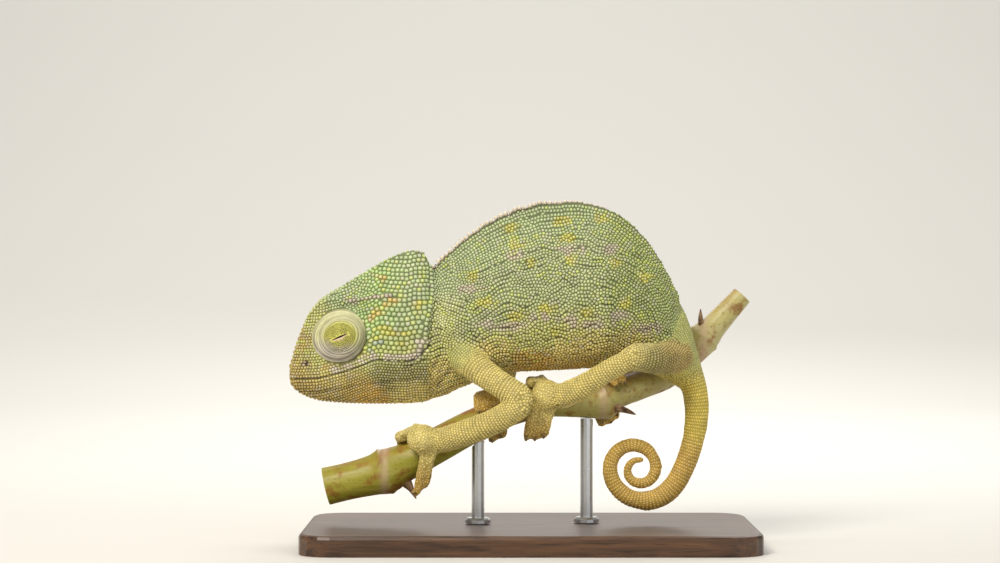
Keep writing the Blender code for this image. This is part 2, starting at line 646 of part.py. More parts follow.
def make_foot(label, side, palm_name, perch, lower):
    """Palm and two bundles of toes; the palm meets the limb's lower length."""
    x, palm_angle, outer, inner = FEET[label]
    radius = stem_at(x)[2]
    out = radius + GAP + PALM_RADII[2] - PALM_SINK
    middle, away, along = round_stem(x, math.radians(palm_angle), out, 0.0, side)
    across = along.cross(away)
    shape = bmesh.new()
    bmesh.ops.create_uvsphere(shape, u_segments=PALM_SEGMENTS[0], v_segments=PALM_SEGMENTS[1], radius=1.0)
    frame = Matrix((along * PALM_RADII[0], across * PALM_RADII[1], away * PALM_RADII[2])).transposed()
    for vert in shape.verts:
        vert.co = (frame @ vert.co + middle) * MM
    palm = finish(palm_name, shape, FOOT)
    clear_of(lower, [palm, perch])
    clear_of(palm, [perch])
    for bundle, spec in (("outer", outer), ("inner", inner)):
        make_toes(bundle + "_toes_" + label, x, side, spec, (palm, lower))


# ---------------------------------------------------------------- stem and stand

def make_perch():
    rings = []
    for x, *_ in STEM_ROUTE:
        centre, along, radius = stem_at(x)
        up = (Vector((0, 0, 1)) - along * along.z).normalized()
        across = along.cross(up)
        rings.append([centre + (up * math.cos(a) + across * math.sin(a)) * radius
                      for a in (2 * math.pi * k / STEM_SIDES for k in range(STEM_SIDES))])
    perch = loft("perch", rings, STEM)
    for root, tip, radius in SPURS:
        a, b = Vector(root), Vector(tip)
        bend = (b - a).cross(Vector((0, 1, 0))).normalized() * SPUR_BEND
        route = [(*a, radius), (*(a.lerp(b, 0.5) + bend), radius * SPUR_WAIST), (*b, SPUR_TIP)]
        combine(perch, loft("spur", tube_rings(route, SPUR_STEPS, SPUR_SIDES), STEM), "UNION")
    return perch


def make_stand(perch):
    width, depth, height = BASE_SIZE
    outline = []
    for k in range(4):
        cx = (width / 2 - BASE_CORNER) * (1 if k in (0, 3) else -1)
        cy = (depth / 2 - BASE_CORNER) * (1 if k in (0, 1) else -1)
        for n in range(BASE_CORNER_STEPS + 1):
            turn = math.pi / 2 * (k + n / BASE_CORNER_STEPS)
            outline.append((cx, cy, math.cos(turn), math.sin(turn)))
    rings = []
    for inset, z in ((0.0, 0.0), (0.0, height - BASE_BEVEL), (BASE_BEVEL * 0.3, height - BASE_BEVEL * 0.3),
                     (BASE_BEVEL, height)):
        rings.append([(cx + (BASE_CORNER - inset) * c, cy + (BASE_CORNER - inset) * s, z)
                      for cx, cy, c, s in outline])
    loft("stand_base", rings, BASE)
    for name, x in zip(("stand_rod_front", "stand_rod_rear"), ROD_X):
        centre, _, radius = stem_at(x)
        top = height + ROD_COLLAR_HEIGHT
        profile = ((ROD_COLLAR_RADIUS, height + GAP), (ROD_COLLAR_RADIUS, top - ROD_COLLAR_EASE),
                   (ROD_COLLAR_RADIUS - ROD_COLLAR_EASE, top), (ROD_RADIUS, top), (ROD_RADIUS, centre.z))
        rings = [[(centre.x + r * math.cos(a), centre.y + r * math.sin(a), z)
                  for a in (2 * math.pi * k / ROD_SIDES for k in range(ROD_SIDES))] for r, z in profile]
        clear_of(loft(name, rings, ROD), [perch])


# ---------------------------------------------------------------- build

for old in list(bpy.data.objects):
    bpy.data.objects.remove(old)

SKIN = material("scaly_skin", SKIN_COLOUR, 0.6)
TAIL = material("tail_skin", TAIL_COLOUR, 0.6)
FOOT = material("foot_skin", FOOT_COLOUR, 0.6)
EYE = material("eye", EYE_COLOUR, 0.1)
STEM = material("green_stem", STEM_COLOUR, 0.45)
BASE = material("dark_wood", BASE_COLOUR, 0.4)
ROD = material("steel_rod", ROD_COLOUR, 0.3, 1.0)
CUTTER_PAINT = material("cutter", SKIN_COLOUR, 0.5)

perch = make_perch()
make_stand(perch)
body = make_body()
head, jaw = make_head()
clear_of(body["neck"], [head, jaw])
for eye_side, eye_label in ((-1, "left"), (1, "right")):
    make_eye(head, eye_side, eye_label)

flesh = [body["neck"], body["trunk"], body["tail_root"]]
LIMBS = (
    ("front_left", -1, ARM_LEFT, ("upper_arm_left", "forearm_left"), "palm_left"),
    ("front_right", 1, ARM_RIGHT, ("upper_arm_right", "forearm_right"), "palm_right"),
    ("hind_left", -1, LEG_LEFT, ("thigh_left", "shin_left"), "sole_left"),
    ("hind_right", 1, LEG_RIGHT, ("thigh_right", "shin_right"), "sole_right"),
)
for label, side, routes, names, palm_name in LIMBS:
    lower = make_limb(routes, side, names, flesh)
    make_foot(label, side, palm_name, perch, lower)
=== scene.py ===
# %% [markdown]
# # A common chameleon on a cut stem
# The animal's solids come from a imported model, called the frame. This lesson dresses them: one skin over all
# the flesh, thousands of small scales that follow it, turret eyes, claws, a back crest, the waxy stem that
# the feet grip, and a plain stand. First the frame is loaded. All sizes below are
# millimetres, and MM turns them into Blender's metres.

# %% Load the frame
import itertools
import math

import bmesh
import bpy
import numpy as np
from mathutils import Matrix, Vector
from mathutils.bvhtree import BVHTree
from mathutils.kdtree import KDTree


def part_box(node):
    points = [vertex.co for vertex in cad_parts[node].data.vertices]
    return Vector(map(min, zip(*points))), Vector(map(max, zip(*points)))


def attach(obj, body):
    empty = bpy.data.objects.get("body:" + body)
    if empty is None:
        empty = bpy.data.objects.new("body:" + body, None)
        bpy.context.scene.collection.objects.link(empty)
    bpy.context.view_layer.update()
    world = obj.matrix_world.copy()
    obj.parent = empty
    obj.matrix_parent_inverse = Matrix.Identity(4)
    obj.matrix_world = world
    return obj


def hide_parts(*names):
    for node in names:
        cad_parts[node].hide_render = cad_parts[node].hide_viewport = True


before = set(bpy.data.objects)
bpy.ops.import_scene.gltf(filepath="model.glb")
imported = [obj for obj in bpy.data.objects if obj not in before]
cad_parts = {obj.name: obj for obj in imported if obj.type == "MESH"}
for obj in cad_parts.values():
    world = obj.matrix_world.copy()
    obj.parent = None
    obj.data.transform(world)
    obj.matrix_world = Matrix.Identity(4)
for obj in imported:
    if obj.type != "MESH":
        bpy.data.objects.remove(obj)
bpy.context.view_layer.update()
MM = 0.001
scene = bpy.context.scene

# %% [markdown]
# ## Camera, floor and light
# The animal is seen level from its left side through a long lens. A long lens flattens depth, so the far
# limbs look nearly as large as the near ones. The lens is worked out from the width that has to fit at the
# animal's middle plane.

# %% Camera
CAMERA_PLACE = Vector((-7.5, -620.0, 65.6)) * MM
VIEW_WIDTH = 250.0 * MM
SENSOR = 36.0

camera_data = bpy.data.cameras.new("camera")
camera_data.sensor_width = SENSOR
camera_data.lens = SENSOR * abs(CAMERA_PLACE.y) / VIEW_WIDTH
camera_data.clip_start = 0.01
camera = bpy.data.objects.new("camera", camera_data)
camera.location = CAMERA_PLACE
camera.rotation_euler = (math.pi / 2, 0.0, 0.0)
scene.collection.objects.link(camera)
scene.camera = camera
scene.view_settings.view_transform = "Standard"

# %% [markdown]
# A few helpers serve every material and piece. One turns an sRGB hex value into the linear colour that
# Blender shades with. One adds a node and feeds its inputs, in a material as well as in Geometry Nodes.
# Others build tubes from rings of points and link a mesh to the scene as an object at the origin.

# %% Material helpers
def linear(hex_colour):
    """sRGB hex to linear RGBA."""
    parts = [int(hex_colour[i:i + 2], 16) / 255.0 for i in (1, 3, 5)]
    return [c / 12.92 if c <= 0.04045 else ((c + 0.055) / 1.055) ** 2.4 for c in parts] + [1.0]


def feed(node, inputs):
    """Set a node's inputs; a socket, or a node's first output in use, is joined instead."""
    for key, value in inputs.items():
        if isinstance(value, bpy.types.Node):
            value = next(socket for socket in value.outputs if socket.enabled)
        if isinstance(value, bpy.types.NodeSocket):
            node.id_data.links.new(value, node.inputs[key])
        else:
            node.inputs[key].default_value = value


def add(tree, kind, inputs=None, stops=(), **settings):
    """Add a node, set it up and feed it; stops are the places and tones of a colour ramp."""
    node = tree.nodes.new(kind)
    for key, value in settings.items():
        setattr(node, key, value)
    for number, (place, tone) in enumerate(stops):
        ramp_stops = node.color_ramp.elements
        stop = ramp_stops[number] if number < len(ramp_stops) else ramp_stops.new(place)
        stop.position, stop.color = place, linear(tone)
    feed(node, inputs or {})
    return node


def span(value, low, high, to_low=0.0, to_high=1.0):
    """Inputs that map a value's range to another."""
    return {"Value": value, "From Min": low, "From Max": high, "To Min": to_low, "To Max": to_high}


def new_material(name):
    """A material with a Principled shader joined to its output."""
    material = bpy.data.materials.new(name)
    material.use_nodes = True
    tree = material.node_tree
    tree.nodes.clear()
    shader = add(tree, "ShaderNodeBsdfPrincipled")
    add(tree, "ShaderNodeOutputMaterial", {"Surface": shader})
    return material, tree, shader


def new_piece(name, mesh, material=None):
    """Link a mesh as an object at the origin."""
    piece = bpy.data.objects.new(name, mesh)
    scene.collection.objects.link(piece)
    if material:
        mesh.materials.append(material)
    return piece


def ring_faces(rings, sides):
    """Faces between neighbouring rings of as many points each."""
    faces = []
    for n in range(rings - 1):
        for k in range(sides):
            a, b = n * sides + k, n * sides + (k + 1) % sides
            faces.append((a, b, b + sides, a + sides))
    return faces


def end_caps(rings, sides):
    """The flat faces that close a tube of rings."""
    return [tuple(reversed(range(sides))), tuple(range((rings - 1) * sides, rings * sides))]


def new_mesh(name, points, faces=()):
    """A mesh from points in millimetres."""
    mesh = bpy.data.meshes.new(name)
    mesh.from_pydata([tuple(p * MM) for p in points], [], faces)
    return mesh


def face_out(mesh):
    """Turn all faces of a closed mesh outwards."""
    shape = bmesh.new()
    shape.from_mesh(mesh)
    bmesh.ops.recalc_face_normals(shape, faces=shape.faces)
    shape.to_mesh(mesh)
    shape.free()


def kd_tree(points):
    """A tree that finds the nearest of some points."""
    tree = KDTree(len(points))
    for number, point in enumerate(points):
        tree.insert(point, number)
    tree.balance()
    return tree


def settle(piece):
    """Replace a piece's mesh by what its modifiers make, and drop the modifiers."""
    whole = bpy.context.evaluated_depsgraph_get()
    mesh = bpy.data.meshes.new_from_object(piece.evaluated_get(whole))
    piece.modifiers.clear()
    piece.data = mesh

# %% [markdown]
# The floor is one pale sheet of matt paper that curves up behind the animal, as in a studio, so that
# no horizon shows. Large soft lamps light it: a warm key from the upper left, a cool weak fill from the
# right, a lamp from behind that draws a thin light edge along the back, and one on the paper behind.

# %% Floor and lights
FLOOR_HALF = 3.2
FLOOR_BACK = 0.35
FLOOR_SWEEP = 1.1
SWEEP_STEPS = 12

floor_paper, tree, shader = new_material("matt_paper_sweep")
shader.inputs["Base Color"].default_value = linear("#D6D3CC")
shader.inputs["Roughness"].default_value = 0.9
profile = [(-FLOOR_HALF, 0.0), (FLOOR_BACK, 0.0)]
for k in range(1, SWEEP_STEPS + 1):
    turn = math.pi / 2 * k / SWEEP_STEPS
    profile.append((FLOOR_BACK + FLOOR_SWEEP * math.sin(turn), FLOOR_SWEEP * (1 - math.cos(turn))))
profile.append((FLOOR_BACK + FLOOR_SWEEP, 2.0))
points = [(x, y, z) for x in (-FLOOR_HALF, FLOOR_HALF) for y, z in profile]
count = len(profile)
mesh = bpy.data.meshes.new("floor")
mesh.from_pydata(points, [], [(k, k + count, k + 1 + count, k + 1) for k in range(count - 1)])
mesh.shade_smooth()
new_piece("floor", mesh, floor_paper)

world = bpy.data.worlds.new("studio")
scene.world = world
world.use_nodes = True
feed(world.node_tree.nodes["Background"], {"Color": linear("#F3F1EC"), "Strength": 0.38})


def lamp(name, place, target, size, power, colour="#FFFFFF"):
    """A square soft lamp that points at a target, both in millimetres."""
    data = bpy.data.lights.new(name, "AREA")
    data.size = size
    data.energy = power
    data.color = linear(colour)[:3]
    light = bpy.data.objects.new(name, data)
    light.location = Vector(place) * MM
    light.rotation_euler = (Vector(target) - Vector(place)).to_track_quat("-Z", "Y").to_euler()
    scene.collection.objects.link(light)


lamp("key", (-240, -400, 430), (0, 0, 55), 0.22, 3, "#FFF8EE")
lamp("fill", (420, -380, 160), (0, 0, 50), 0.45, 0.8, "#F2F6FF")
lamp("back", (60, 380, 380), (0, 0, 60), 0.4, 1.2)
lamp("backdrop", (0, 250, 900), (0, 1250, 350), 0.8, 9)

# %% [markdown]
# ## Where the feet hold the stem
# The stem's route and the way each foot wraps round it are the same as for the solids. Skin, claws and stem
# all need them: the claws are separate pieces of horn, so the skin has to stop at the toes' ends.

# %% Stem route and toes
STEM_ROUTE = (  # x, y, z and radius, as in its solid
    (-51, 0, 14.4, 4.85), (-45, 0, 15.8, 4.8), (-39.2, 0, 17.2, 5.2), (-36, 0, 18.2, 5.9),
    (-33.4, 0, 19.4, 5.2), (-29, 0, 21.4, 4.6), (-22.2, 0, 25.2, 4.5), (-14, 0, 29.6, 4.25),
    (-5, 0.2, 33.4, 4), (3.75, 0.8, 35.4, 3.9), (11, 1.6, 35.4, 3.9), (16.4, 2.6, 35.3, 4.2),
    (18.6, 3.2, 35.8, 4.9), (21.2, 4.2, 37.2, 4), (28.2, 7.4, 39.6, 3.8), (35.5, 11.2, 42.4, 3.7),
    (42.4, 14, 48.6, 3.9), (44.6, 14.6, 51.2, 4.3), (47.2, 15, 54, 3.4), (54.5, 15.6, 62, 2.7),
)
FEET = {  # place on the stem, then per bundle: toes, start and end angle, slide, standing off
    "front_left": (-25, (2, 84, 156, -7, 1.8), (3, 30, -104, -4.8, 0)),
    "front_right": (-7.4, (2, 78, 165, -3.2, 0.2), (3, 28, -72, -2.6, 0.2)),
    "hind_left": (3.8, (3, 84, 152, -4.2, 4.6), (2, 34, -112, -2.4, 0)),
    "hind_right": (21, (3, 78, 166, -2.4, 0.4), (2, 30, -66, 0.6, 0.3)),
}
TOE_SPACING = {2: 2.6, 3: 2.2}
TOE_STAGGER = 1.6
TOE_HALF_DEPTH = 1.32  # of a toe's tip
CLEARANCE = 0.3
CLAW_REACH = 6.0  # the radius that a claw's bend follows


def stem_row(x):
    """y, z and radius of the stem at an x, by a smooth curve through its route."""
    rows = STEM_ROUTE
    i = sum(row[0] < x for row in rows[1:-1])
    width = rows[i + 1][0] - rows[i][0]
    t = (x - rows[i][0]) / width
    values = []
    for column in (1, 2, 3):
        def slope(k):
            low, high = max(k - 1, 0), min(k + 1, len(rows) - 1)
            return (rows[high][column] - rows[low][column]) / (rows[high][0] - rows[low][0])
        a, b = rows[i][column], rows[i + 1][column]
        m0, m1 = slope(i) * width, slope(i + 1) * width
        values.append((2 * t ** 3 - 3 * t * t + 1) * a + (t ** 3 - 2 * t * t + t) * m0
                      + (3 * t * t - 2 * t ** 3) * b + (t ** 3 - t * t) * m1)
    return values


def stem_at(x):
    """Centre, direction and radius of the stem at an x."""
    y, z, radius = stem_row(x)
    ya, za, _ = stem_row(x + 0.5)
    yb, zb, _ = stem_row(x - 0.5)
    return Vector((x, y, z)), Vector((1.0, ya - yb, za - zb)).normalized(), radius


def round_stem(x, angle, out, slide, side):
    """A point beside the stem: angle from its top towards the limb's side, out from its axis."""
    centre, along, _ = stem_at(x)
    up = (Vector((0, 0, 1)) - along * along.z).normalized()
    across = Vector((0, side, 0)) - along * (along.y * side)
    across = (across - up * across.dot(up)).normalized()
    return centre + along * slide + (up * math.cos(angle) + across * math.sin(angle)) * out


def every_claw():
    """Stem place, side, end angle, turn, slide and standing-off of each claw."""
    for label, (x, *bundles) in FEET.items():
        side = -1 if label.endswith("left") else 1
        for toes, start, stop, slide, loose in bundles:
            for k in range(toes):
                lane = (k - (toes - 1) / 2) * TOE_SPACING[toes]
                stop_here = stop + abs(lane) * TOE_STAGGER * math.copysign(1.0, start - stop)
                yield x, side, math.radians(stop_here), math.copysign(1.0, stop - start), slide + lane, loose


def claw_point(claw, along, lift=0.0):
    """A point on a claw's middle line; along is the distance past the toe's end."""
    x, side, stop, turn, slide, loose = claw
    out = stem_at(x + slide)[2] + CLEARANCE + TOE_HALF_DEPTH + loose + lift
    return round_stem(x, stop + turn * along / CLAW_REACH, out, slide, side)

# %% [markdown]
# ## The coiled tail
# The turns of the tail's coil lie half a millimetre apart, which a remesh would melt together. So the tail's
# copies are drawn out sideways like a spring first, and the skin's points are put back afterwards.

# %% Middle line of the tail
TAIL_START = (40.6, 40.5)
TAIL_LENGTH = 84.0
TAIL_HEADING = math.radians(-72.6)
TAIL_CURL = (0.046, 0.033, 0.019, 0.118, 0.109, 0.175, 0.173, 0.291, 0.398)  # turn per mm, evenly spaced
TAIL_DEPTH = (7.0, 6.35, 5.95, 5.8, 4.8, 4.2, 3.85, 3.15, 1.9)  # evenly spaced
TAIL_LEAN = 1.6
TAIL_POINTS = 420
TAIL_NODES = {"tail_root": (0, 0.2), "tail_bow": (0.12, 0.5), "tail_coil": (0.41, 0.8), "tail_tip": (0.72, 1)}
DRAW_OUT_FROM = 0.36
TAIL_REACH = 1.5  # skin points so near the tail's form are the tail's own
TAIL_LEAST_X = 10.0  # none of them lies before this
TURN_SHARE = 0.10  # half a turn of the coil, over the tail's length
DRAW_OUT = 20.0  # how far sideways the tip is drawn out

tail_parts = np.linspace(0.0, 1.0, TAIL_POINTS + 1)
tail_turn = np.interp(tail_parts * (len(TAIL_CURL) - 1), range(len(TAIL_CURL)), TAIL_CURL)
tail_half = np.interp(tail_parts * (len(TAIL_DEPTH) - 1), range(len(TAIL_DEPTH)), TAIL_DEPTH) / 2
tail_step = TAIL_LENGTH / TAIL_POINTS
tail_heading = TAIL_HEADING - np.cumsum(np.append(0.0, tail_turn[:-1])) * tail_step
tail_ahead = np.stack([np.cos(tail_heading), 0 * tail_parts, np.sin(tail_heading)], axis=1)
tail_line = np.vstack([np.zeros(3), np.cumsum(tail_ahead[:-1] * tail_step, axis=0)])
tail_line += np.array([TAIL_START[0], 0.0, TAIL_START[1]])
tail_line[:, 1] = -TAIL_LEAN * tail_parts ** 2


def drawn_out(parts):
    """How far sideways the tail is drawn out at a part of its length."""
    return -DRAW_OUT * np.clip(parts - DRAW_OUT_FROM, 0.0, None) / (1 - DRAW_OUT_FROM)


def parts_of_tail(points, line, low=0.0, high=1.0):
    """Part of the tail's length for each point, and how far it lies outside the tail."""
    use = np.flatnonzero((tail_parts >= low) & (tail_parts <= high))
    outside = np.linalg.norm(points[:, None] - line[None, use], axis=2) - tail_half[use]
    best = use[outside.argmin(axis=1)]
    along = ((points - line[best]) * tail_ahead[best]).sum(axis=1)
    return tail_parts[best] + along / TAIL_LENGTH, outside.min(axis=1)

# %% [markdown]
# ## The skin
# A real chameleon wears one skin with no seams. Each flesh solid of the frame is copied and drawn in by the
# depth of the scales, which will stand on it. Where two solids face each other across a thin cut, the
# facing sides are pushed together instead, so that the copies overlap. A voxel remesh then melts them into
# one surface, and smoothing takes the facets away. Booleans could join them too, but would keep every seam.

# %% Copies of the flesh
COAT = 0.22  # depth that the scales fill
FOOT_COAT = 0.14
CONTACT = 0.62  # sides closer than this face each other across a cut
BRIDGE = 0.34  # how far such sides are pushed together
VOXEL = 0.47
LONG_EDGE = 3.0
FACE_CLEAR, POINT_CLEAR = 0.02, 0.05  # how far off the surface a ray starts
OPPOSED = -0.5  # cosine between two sides that face each other
LEAST_KEEL = 1.1  # the back's keel isn't drawn in thinner than this
CLAW_NEAR, CLAW_FAR = 1.0, 2.5  # points so near a claw's line, and so far past the toe, are its own

HEAD = ("head", "lower_jaw", "eye_turret_left", "eye_turret_right")
BODY = ("neck", "trunk")
TAIL = ("tail_root", "tail_bow", "tail_coil", "tail_tip")
SIDES = ("left", "right")
ARMS = tuple(part + "_" + side for part in ("upper_arm", "forearm") for side in SIDES)
LEGS = tuple(part + "_" + side for part in ("thigh", "shin") for side in SIDES)
FRONT_FEET = tuple(part + side for part in ("palm_", "outer_toes_front_", "inner_toes_front_")
                   for side in SIDES)
HIND_FEET = tuple(part + side for part in ("sole_", "outer_toes_hind_", "inner_toes_hind_")
                  for side in SIDES)
GROUPS = (HEAD, BODY, TAIL, ARMS, LEGS, FRONT_FEET, HIND_FEET)
FLESH = [name for group in GROUPS for name in group]


def merged_copy(name):
    """A frame node's mesh in millimetres, with its loose triangles joined up."""
    shape = bmesh.new()
    shape.from_mesh(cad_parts[name].data)
    bmesh.ops.remove_doubles(shape, verts=shape.verts, dist=1e-6)
    bmesh.ops.scale(shape, vec=(1 / MM,) * 3, verts=shape.verts)
    bmesh.ops.subdivide_edges(shape, edges=[e for e in shape.edges if e.calc_length() > LONG_EDGE], cuts=1)
    bmesh.ops.triangulate(shape, faces=shape.faces)
    shape.normal_update()
    return shape


def boxes_meet(a, b):
    (low_a, high_a), (low_b, high_b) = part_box(a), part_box(b)
    return all(low_a[k] - MM < high_b[k] and low_b[k] - MM < high_a[k] for k in range(3))


def draw_in(name):
    """Shrink a flesh copy by the coat's depth, and push the sides of its cuts outwards."""
    shape = flesh[name]
    others = [flesh_trees[other] for other in FLESH if other != name and boxes_meet(name, other)]
    facing = set()
    for face in shape.faces:
        start = face.calc_center_median() + face.normal * FACE_CLEAR
        for other in others:
            place, normal, _, _ = other.ray_cast(start, face.normal, CONTACT)
            if place and normal.dot(face.normal) < OPPOSED:
                facing.add(face)
                break
    keeps_keel = name in HEAD + BODY + TAIL
    moves = []
    for vert in shape.verts:
        free, met = Vector(), Vector()
        for face in vert.link_faces:
            if face in facing:
                met += face.normal * face.calc_area()
            else:
                free += face.normal * face.calc_area()
        depth = FOOT_COAT if name in FRONT_FEET + HIND_FEET else COAT
        if keeps_keel:
            _, _, _, thickness = flesh_trees[name].ray_cast(vert.co - vert.normal * POINT_CLEAR, -vert.normal)
            depth = min(COAT, max(0.0, ((thickness or LEAST_KEEL) - LEAST_KEEL) / 2))
        moves.append((vert, met.normalized() * BRIDGE - free.normalized() * depth))
    for vert, move in moves:
        vert.co += move


def without_claws(shape):
    """Push the claws of a toe solid back into the toes."""
    for claw in every_claw():
        root, ahead = claw_point(claw, 0.0), claw_point(claw, 1.0)
        axis = (ahead - root).normalized()
        for vert in shape.verts:
            beyond = (vert.co - root).dot(axis)
            if beyond > 0 and (vert.co - root - axis * beyond).length < CLAW_NEAR and beyond < CLAW_FAR:
                vert.co -= axis * beyond


flesh = {name: merged_copy(name) for name in FLESH}
for name in FLESH:
    if "_toes_" in name:
        without_claws(flesh[name])
owner_points, owner_faces, owner_of_face = [], [], []
for number, name in enumerate(FLESH):
    first = len(owner_points)
    owner_points += [vert.co.copy() for vert in flesh[name].verts]
    for face in flesh[name].faces:
        owner_faces.append([first + vert.index for vert in face.verts])
        owner_of_face.append(number)
owner_tree = BVHTree.FromPolygons(owner_points, owner_faces)
for name, (low, high) in TAIL_NODES.items():
    parts, _ = parts_of_tail(np.array([vert.co[:] for vert in flesh[name].verts]), tail_line, low, high)
    for vert in flesh[name].verts:  # a point may lie nearer to the next turn than to its own
        near = np.median([parts[edge.other_vert(vert).index] for edge in vert.link_edges])
        if abs(parts[vert.index] - near) > TURN_SHARE:
            parts[vert.index] = near
    for vert, shift in zip(flesh[name].verts, drawn_out(parts)):
        vert.co.y += shift
    flesh[name].normal_update()
flesh_trees = {name: BVHTree.FromBMesh(shape) for name, shape in flesh.items()}
for name in FLESH:
    draw_in(name)
print(len(FLESH), "flesh solids copied")

# %% Melt the copies into one skin
joined = bmesh.new()
for name in FLESH:
    mesh = bpy.data.meshes.new("part")
    flesh[name].to_mesh(mesh)
    flesh[name].free()
    joined.from_mesh(mesh)
    bpy.data.meshes.remove(mesh)
bmesh.ops.scale(joined, vec=(MM,) * 3, verts=joined.verts)
mesh = bpy.data.meshes.new("skin")
joined.to_mesh(mesh)
joined.free()
skin = new_piece("skin", mesh)
melt = skin.modifiers.new("melt", "REMESH")
melt.mode = "VOXEL"
melt.voxel_size = VOXEL * MM
settle(skin)


def read_array(items, key, width=3):
    values = np.zeros(len(items) * width, np.float32)
    items.foreach_get(key, values)
    return values.reshape(-1, width).astype(float) if width > 1 else values.astype(float)


def drop_bubbles(mesh):
    """Keep the outer surface and drop the small bubbles that a remesh leaves inside a body."""
    shape = bmesh.new()
    shape.from_mesh(mesh)
    shape.verts.ensure_lookup_table()
    island = {shape.verts[0]}
    stack = [shape.verts[0]]
    while stack:
        for edge in stack.pop().link_edges:
            for vert in edge.verts:
                if vert not in island:
                    island.add(vert)
                    stack.append(vert)
    assert len(island) * 2 > len(shape.verts), "the first point lies on a bubble"
    bmesh.ops.delete(shape, geom=[v for v in shape.verts if v not in island], context="VERTS")
    shape.to_mesh(mesh)
    shape.free()


drop_bubbles(skin.data)
print("skin", len(skin.data.polygons), "faces")

# %% [markdown]
# Each skin point needs to know which part of the animal it belongs to, for its colour, its scales and how
# much it may be smoothed. The nearest flesh solid says so. Spreading these labels over the mesh a few times
# turns them into soft masks that fade into each other at the shoulders, hips and neck.

# %% Body masks
MASK_SPREAD = 8  # rounds of spreading, each about one voxel wide

skin_edges = np.zeros(len(skin.data.edges) * 2, np.int32)
skin.data.edges.foreach_get("vertices", skin_edges)
edge_a, edge_b = skin_edges.reshape(-1, 2).T
degree = np.bincount(skin_edges, minlength=len(skin.data.vertices)).astype(float)


def around(values):
    """The mean of each point's neighbours, for one column or several."""
    if values.ndim == 1:
        total = (np.bincount(edge_a, values[edge_b], len(degree))
                 + np.bincount(edge_b, values[edge_a], len(degree)))
        return total / degree
    return np.stack([around(values[:, k]) for k in range(values.shape[1])], axis=1)


def spread(values, rounds):
    for _ in range(rounds):
        values = 0.5 * values + 0.5 * around(values)
    return values


def ramp(value, low, high):
    """0 below low, 1 above high, smooth between."""
    t = np.clip((value - low) / (high - low), 0.0, 1.0)
    return t * t * (3 - 2 * t)


skin_points = read_array(skin.data.vertices, "co") / MM
long_line = tail_line + np.outer(drawn_out(tail_parts), (0.0, 1.0, 0.0))
low_down = np.flatnonzero((skin_points[:, 0] > TAIL_LEAST_X) & (skin_points[:, 2] < TAIL_START[1]))
parts, outside = parts_of_tail(skin_points[low_down], long_line)
skin_points[low_down, 1] -= np.where(outside < TAIL_REACH, drawn_out(parts), 0.0)
skin_label = np.array([owner_of_face[owner_tree.find_nearest(Vector(p))[2]] for p in skin_points])
group_of_label = np.array([g for g, group in enumerate(GROUPS) for _ in group])
skin_masks = np.stack([spread((group_of_label[skin_label] == g).astype(float), MASK_SPREAD)
                       for g in range(len(GROUPS))], axis=1)

# %% [markdown]
# The solids have flat facets of two to seven millimetres. Plain smoothing takes them away but also shrinks
# the form. So each point's depth under the solids is measured afterwards, averaged over its surroundings and
# put back to the coat's depth. The broad trunk is smoothed a lot, thin toes hardly, and the keel of the back
# almost not at all, or it would be rounded off.

# %% Smooth by part
SMOOTH_ROUNDS = 90
SMOOTH_STEP = 0.6
SMOOTH_SHARE = (0.30, 1.0, 0.16, 0.14, 0.14, 0.07, 0.07)  # in the order of GROUPS
PALM_SHARE = 0.30
DEPTH_SPREAD = 40
MOST_DEPTH = 1.5  # deeper points belong to a cut or a fold
KEEL_WIDTH = 2.4
KEEL_SHARE = 0.05


def vertex_normals():
    """Unit normals of the skin's points where skin_points says they are."""
    skin.data.vertices.foreach_set("co", (skin_points * MM).ravel())
    skin.data.update()
    return read_array(skin.data.vertices, "normal")


share = skin_masks @ np.array(SMOOTH_SHARE)
palms = np.isin(skin_label, [n for n, name in enumerate(FLESH) if name.startswith(("palm_", "sole_"))])
share += spread(palms.astype(float), MASK_SPREAD) * PALM_SHARE
keel = (skin_masks[:, 0] + skin_masks[:, 1]) * (1 - ramp(np.abs(skin_points[:, 1]), 0.6, KEEL_WIDTH))
keel *= ramp(skin_points[:, 2], 57.0, 62.0)
share = share * (1 - keel) + KEEL_SHARE * keel
for _ in range(SMOOTH_ROUNDS):
    skin_points += (SMOOTH_STEP * share)[:, None] * (around(skin_points) - skin_points)
skin_normals = vertex_normals()
depth = np.zeros(len(skin_points))
for number, point in enumerate(skin_points):
    place, normal, _, distance = owner_tree.find_nearest(Vector(point))
    depth[number] = distance if (place - Vector(point)).dot(Vector(skin_normals[number])) > 0 else -distance
error = spread(np.clip(depth, -MOST_DEPTH, MOST_DEPTH), DEPTH_SPREAD) - COAT
skin_points += skin_normals * (error * (1 - keel))[:, None]
skin_normals = vertex_normals()
print("smoothed, mean depth error", round(float(np.abs(error).mean()), 2), "mm")

# %% [markdown]
# ## Folds, creases and ridges
# The solids can't show the thin mouth line, the groove along the throat or the folds of the neck. Each is a
# short curve seen from the side, with a half width and a depth. Points of the skin near the curve move in,
# or out for a ridge. The curves act on both sides of the animal alike. A sunk band across the eye turret
# makes room for the eye pieces.

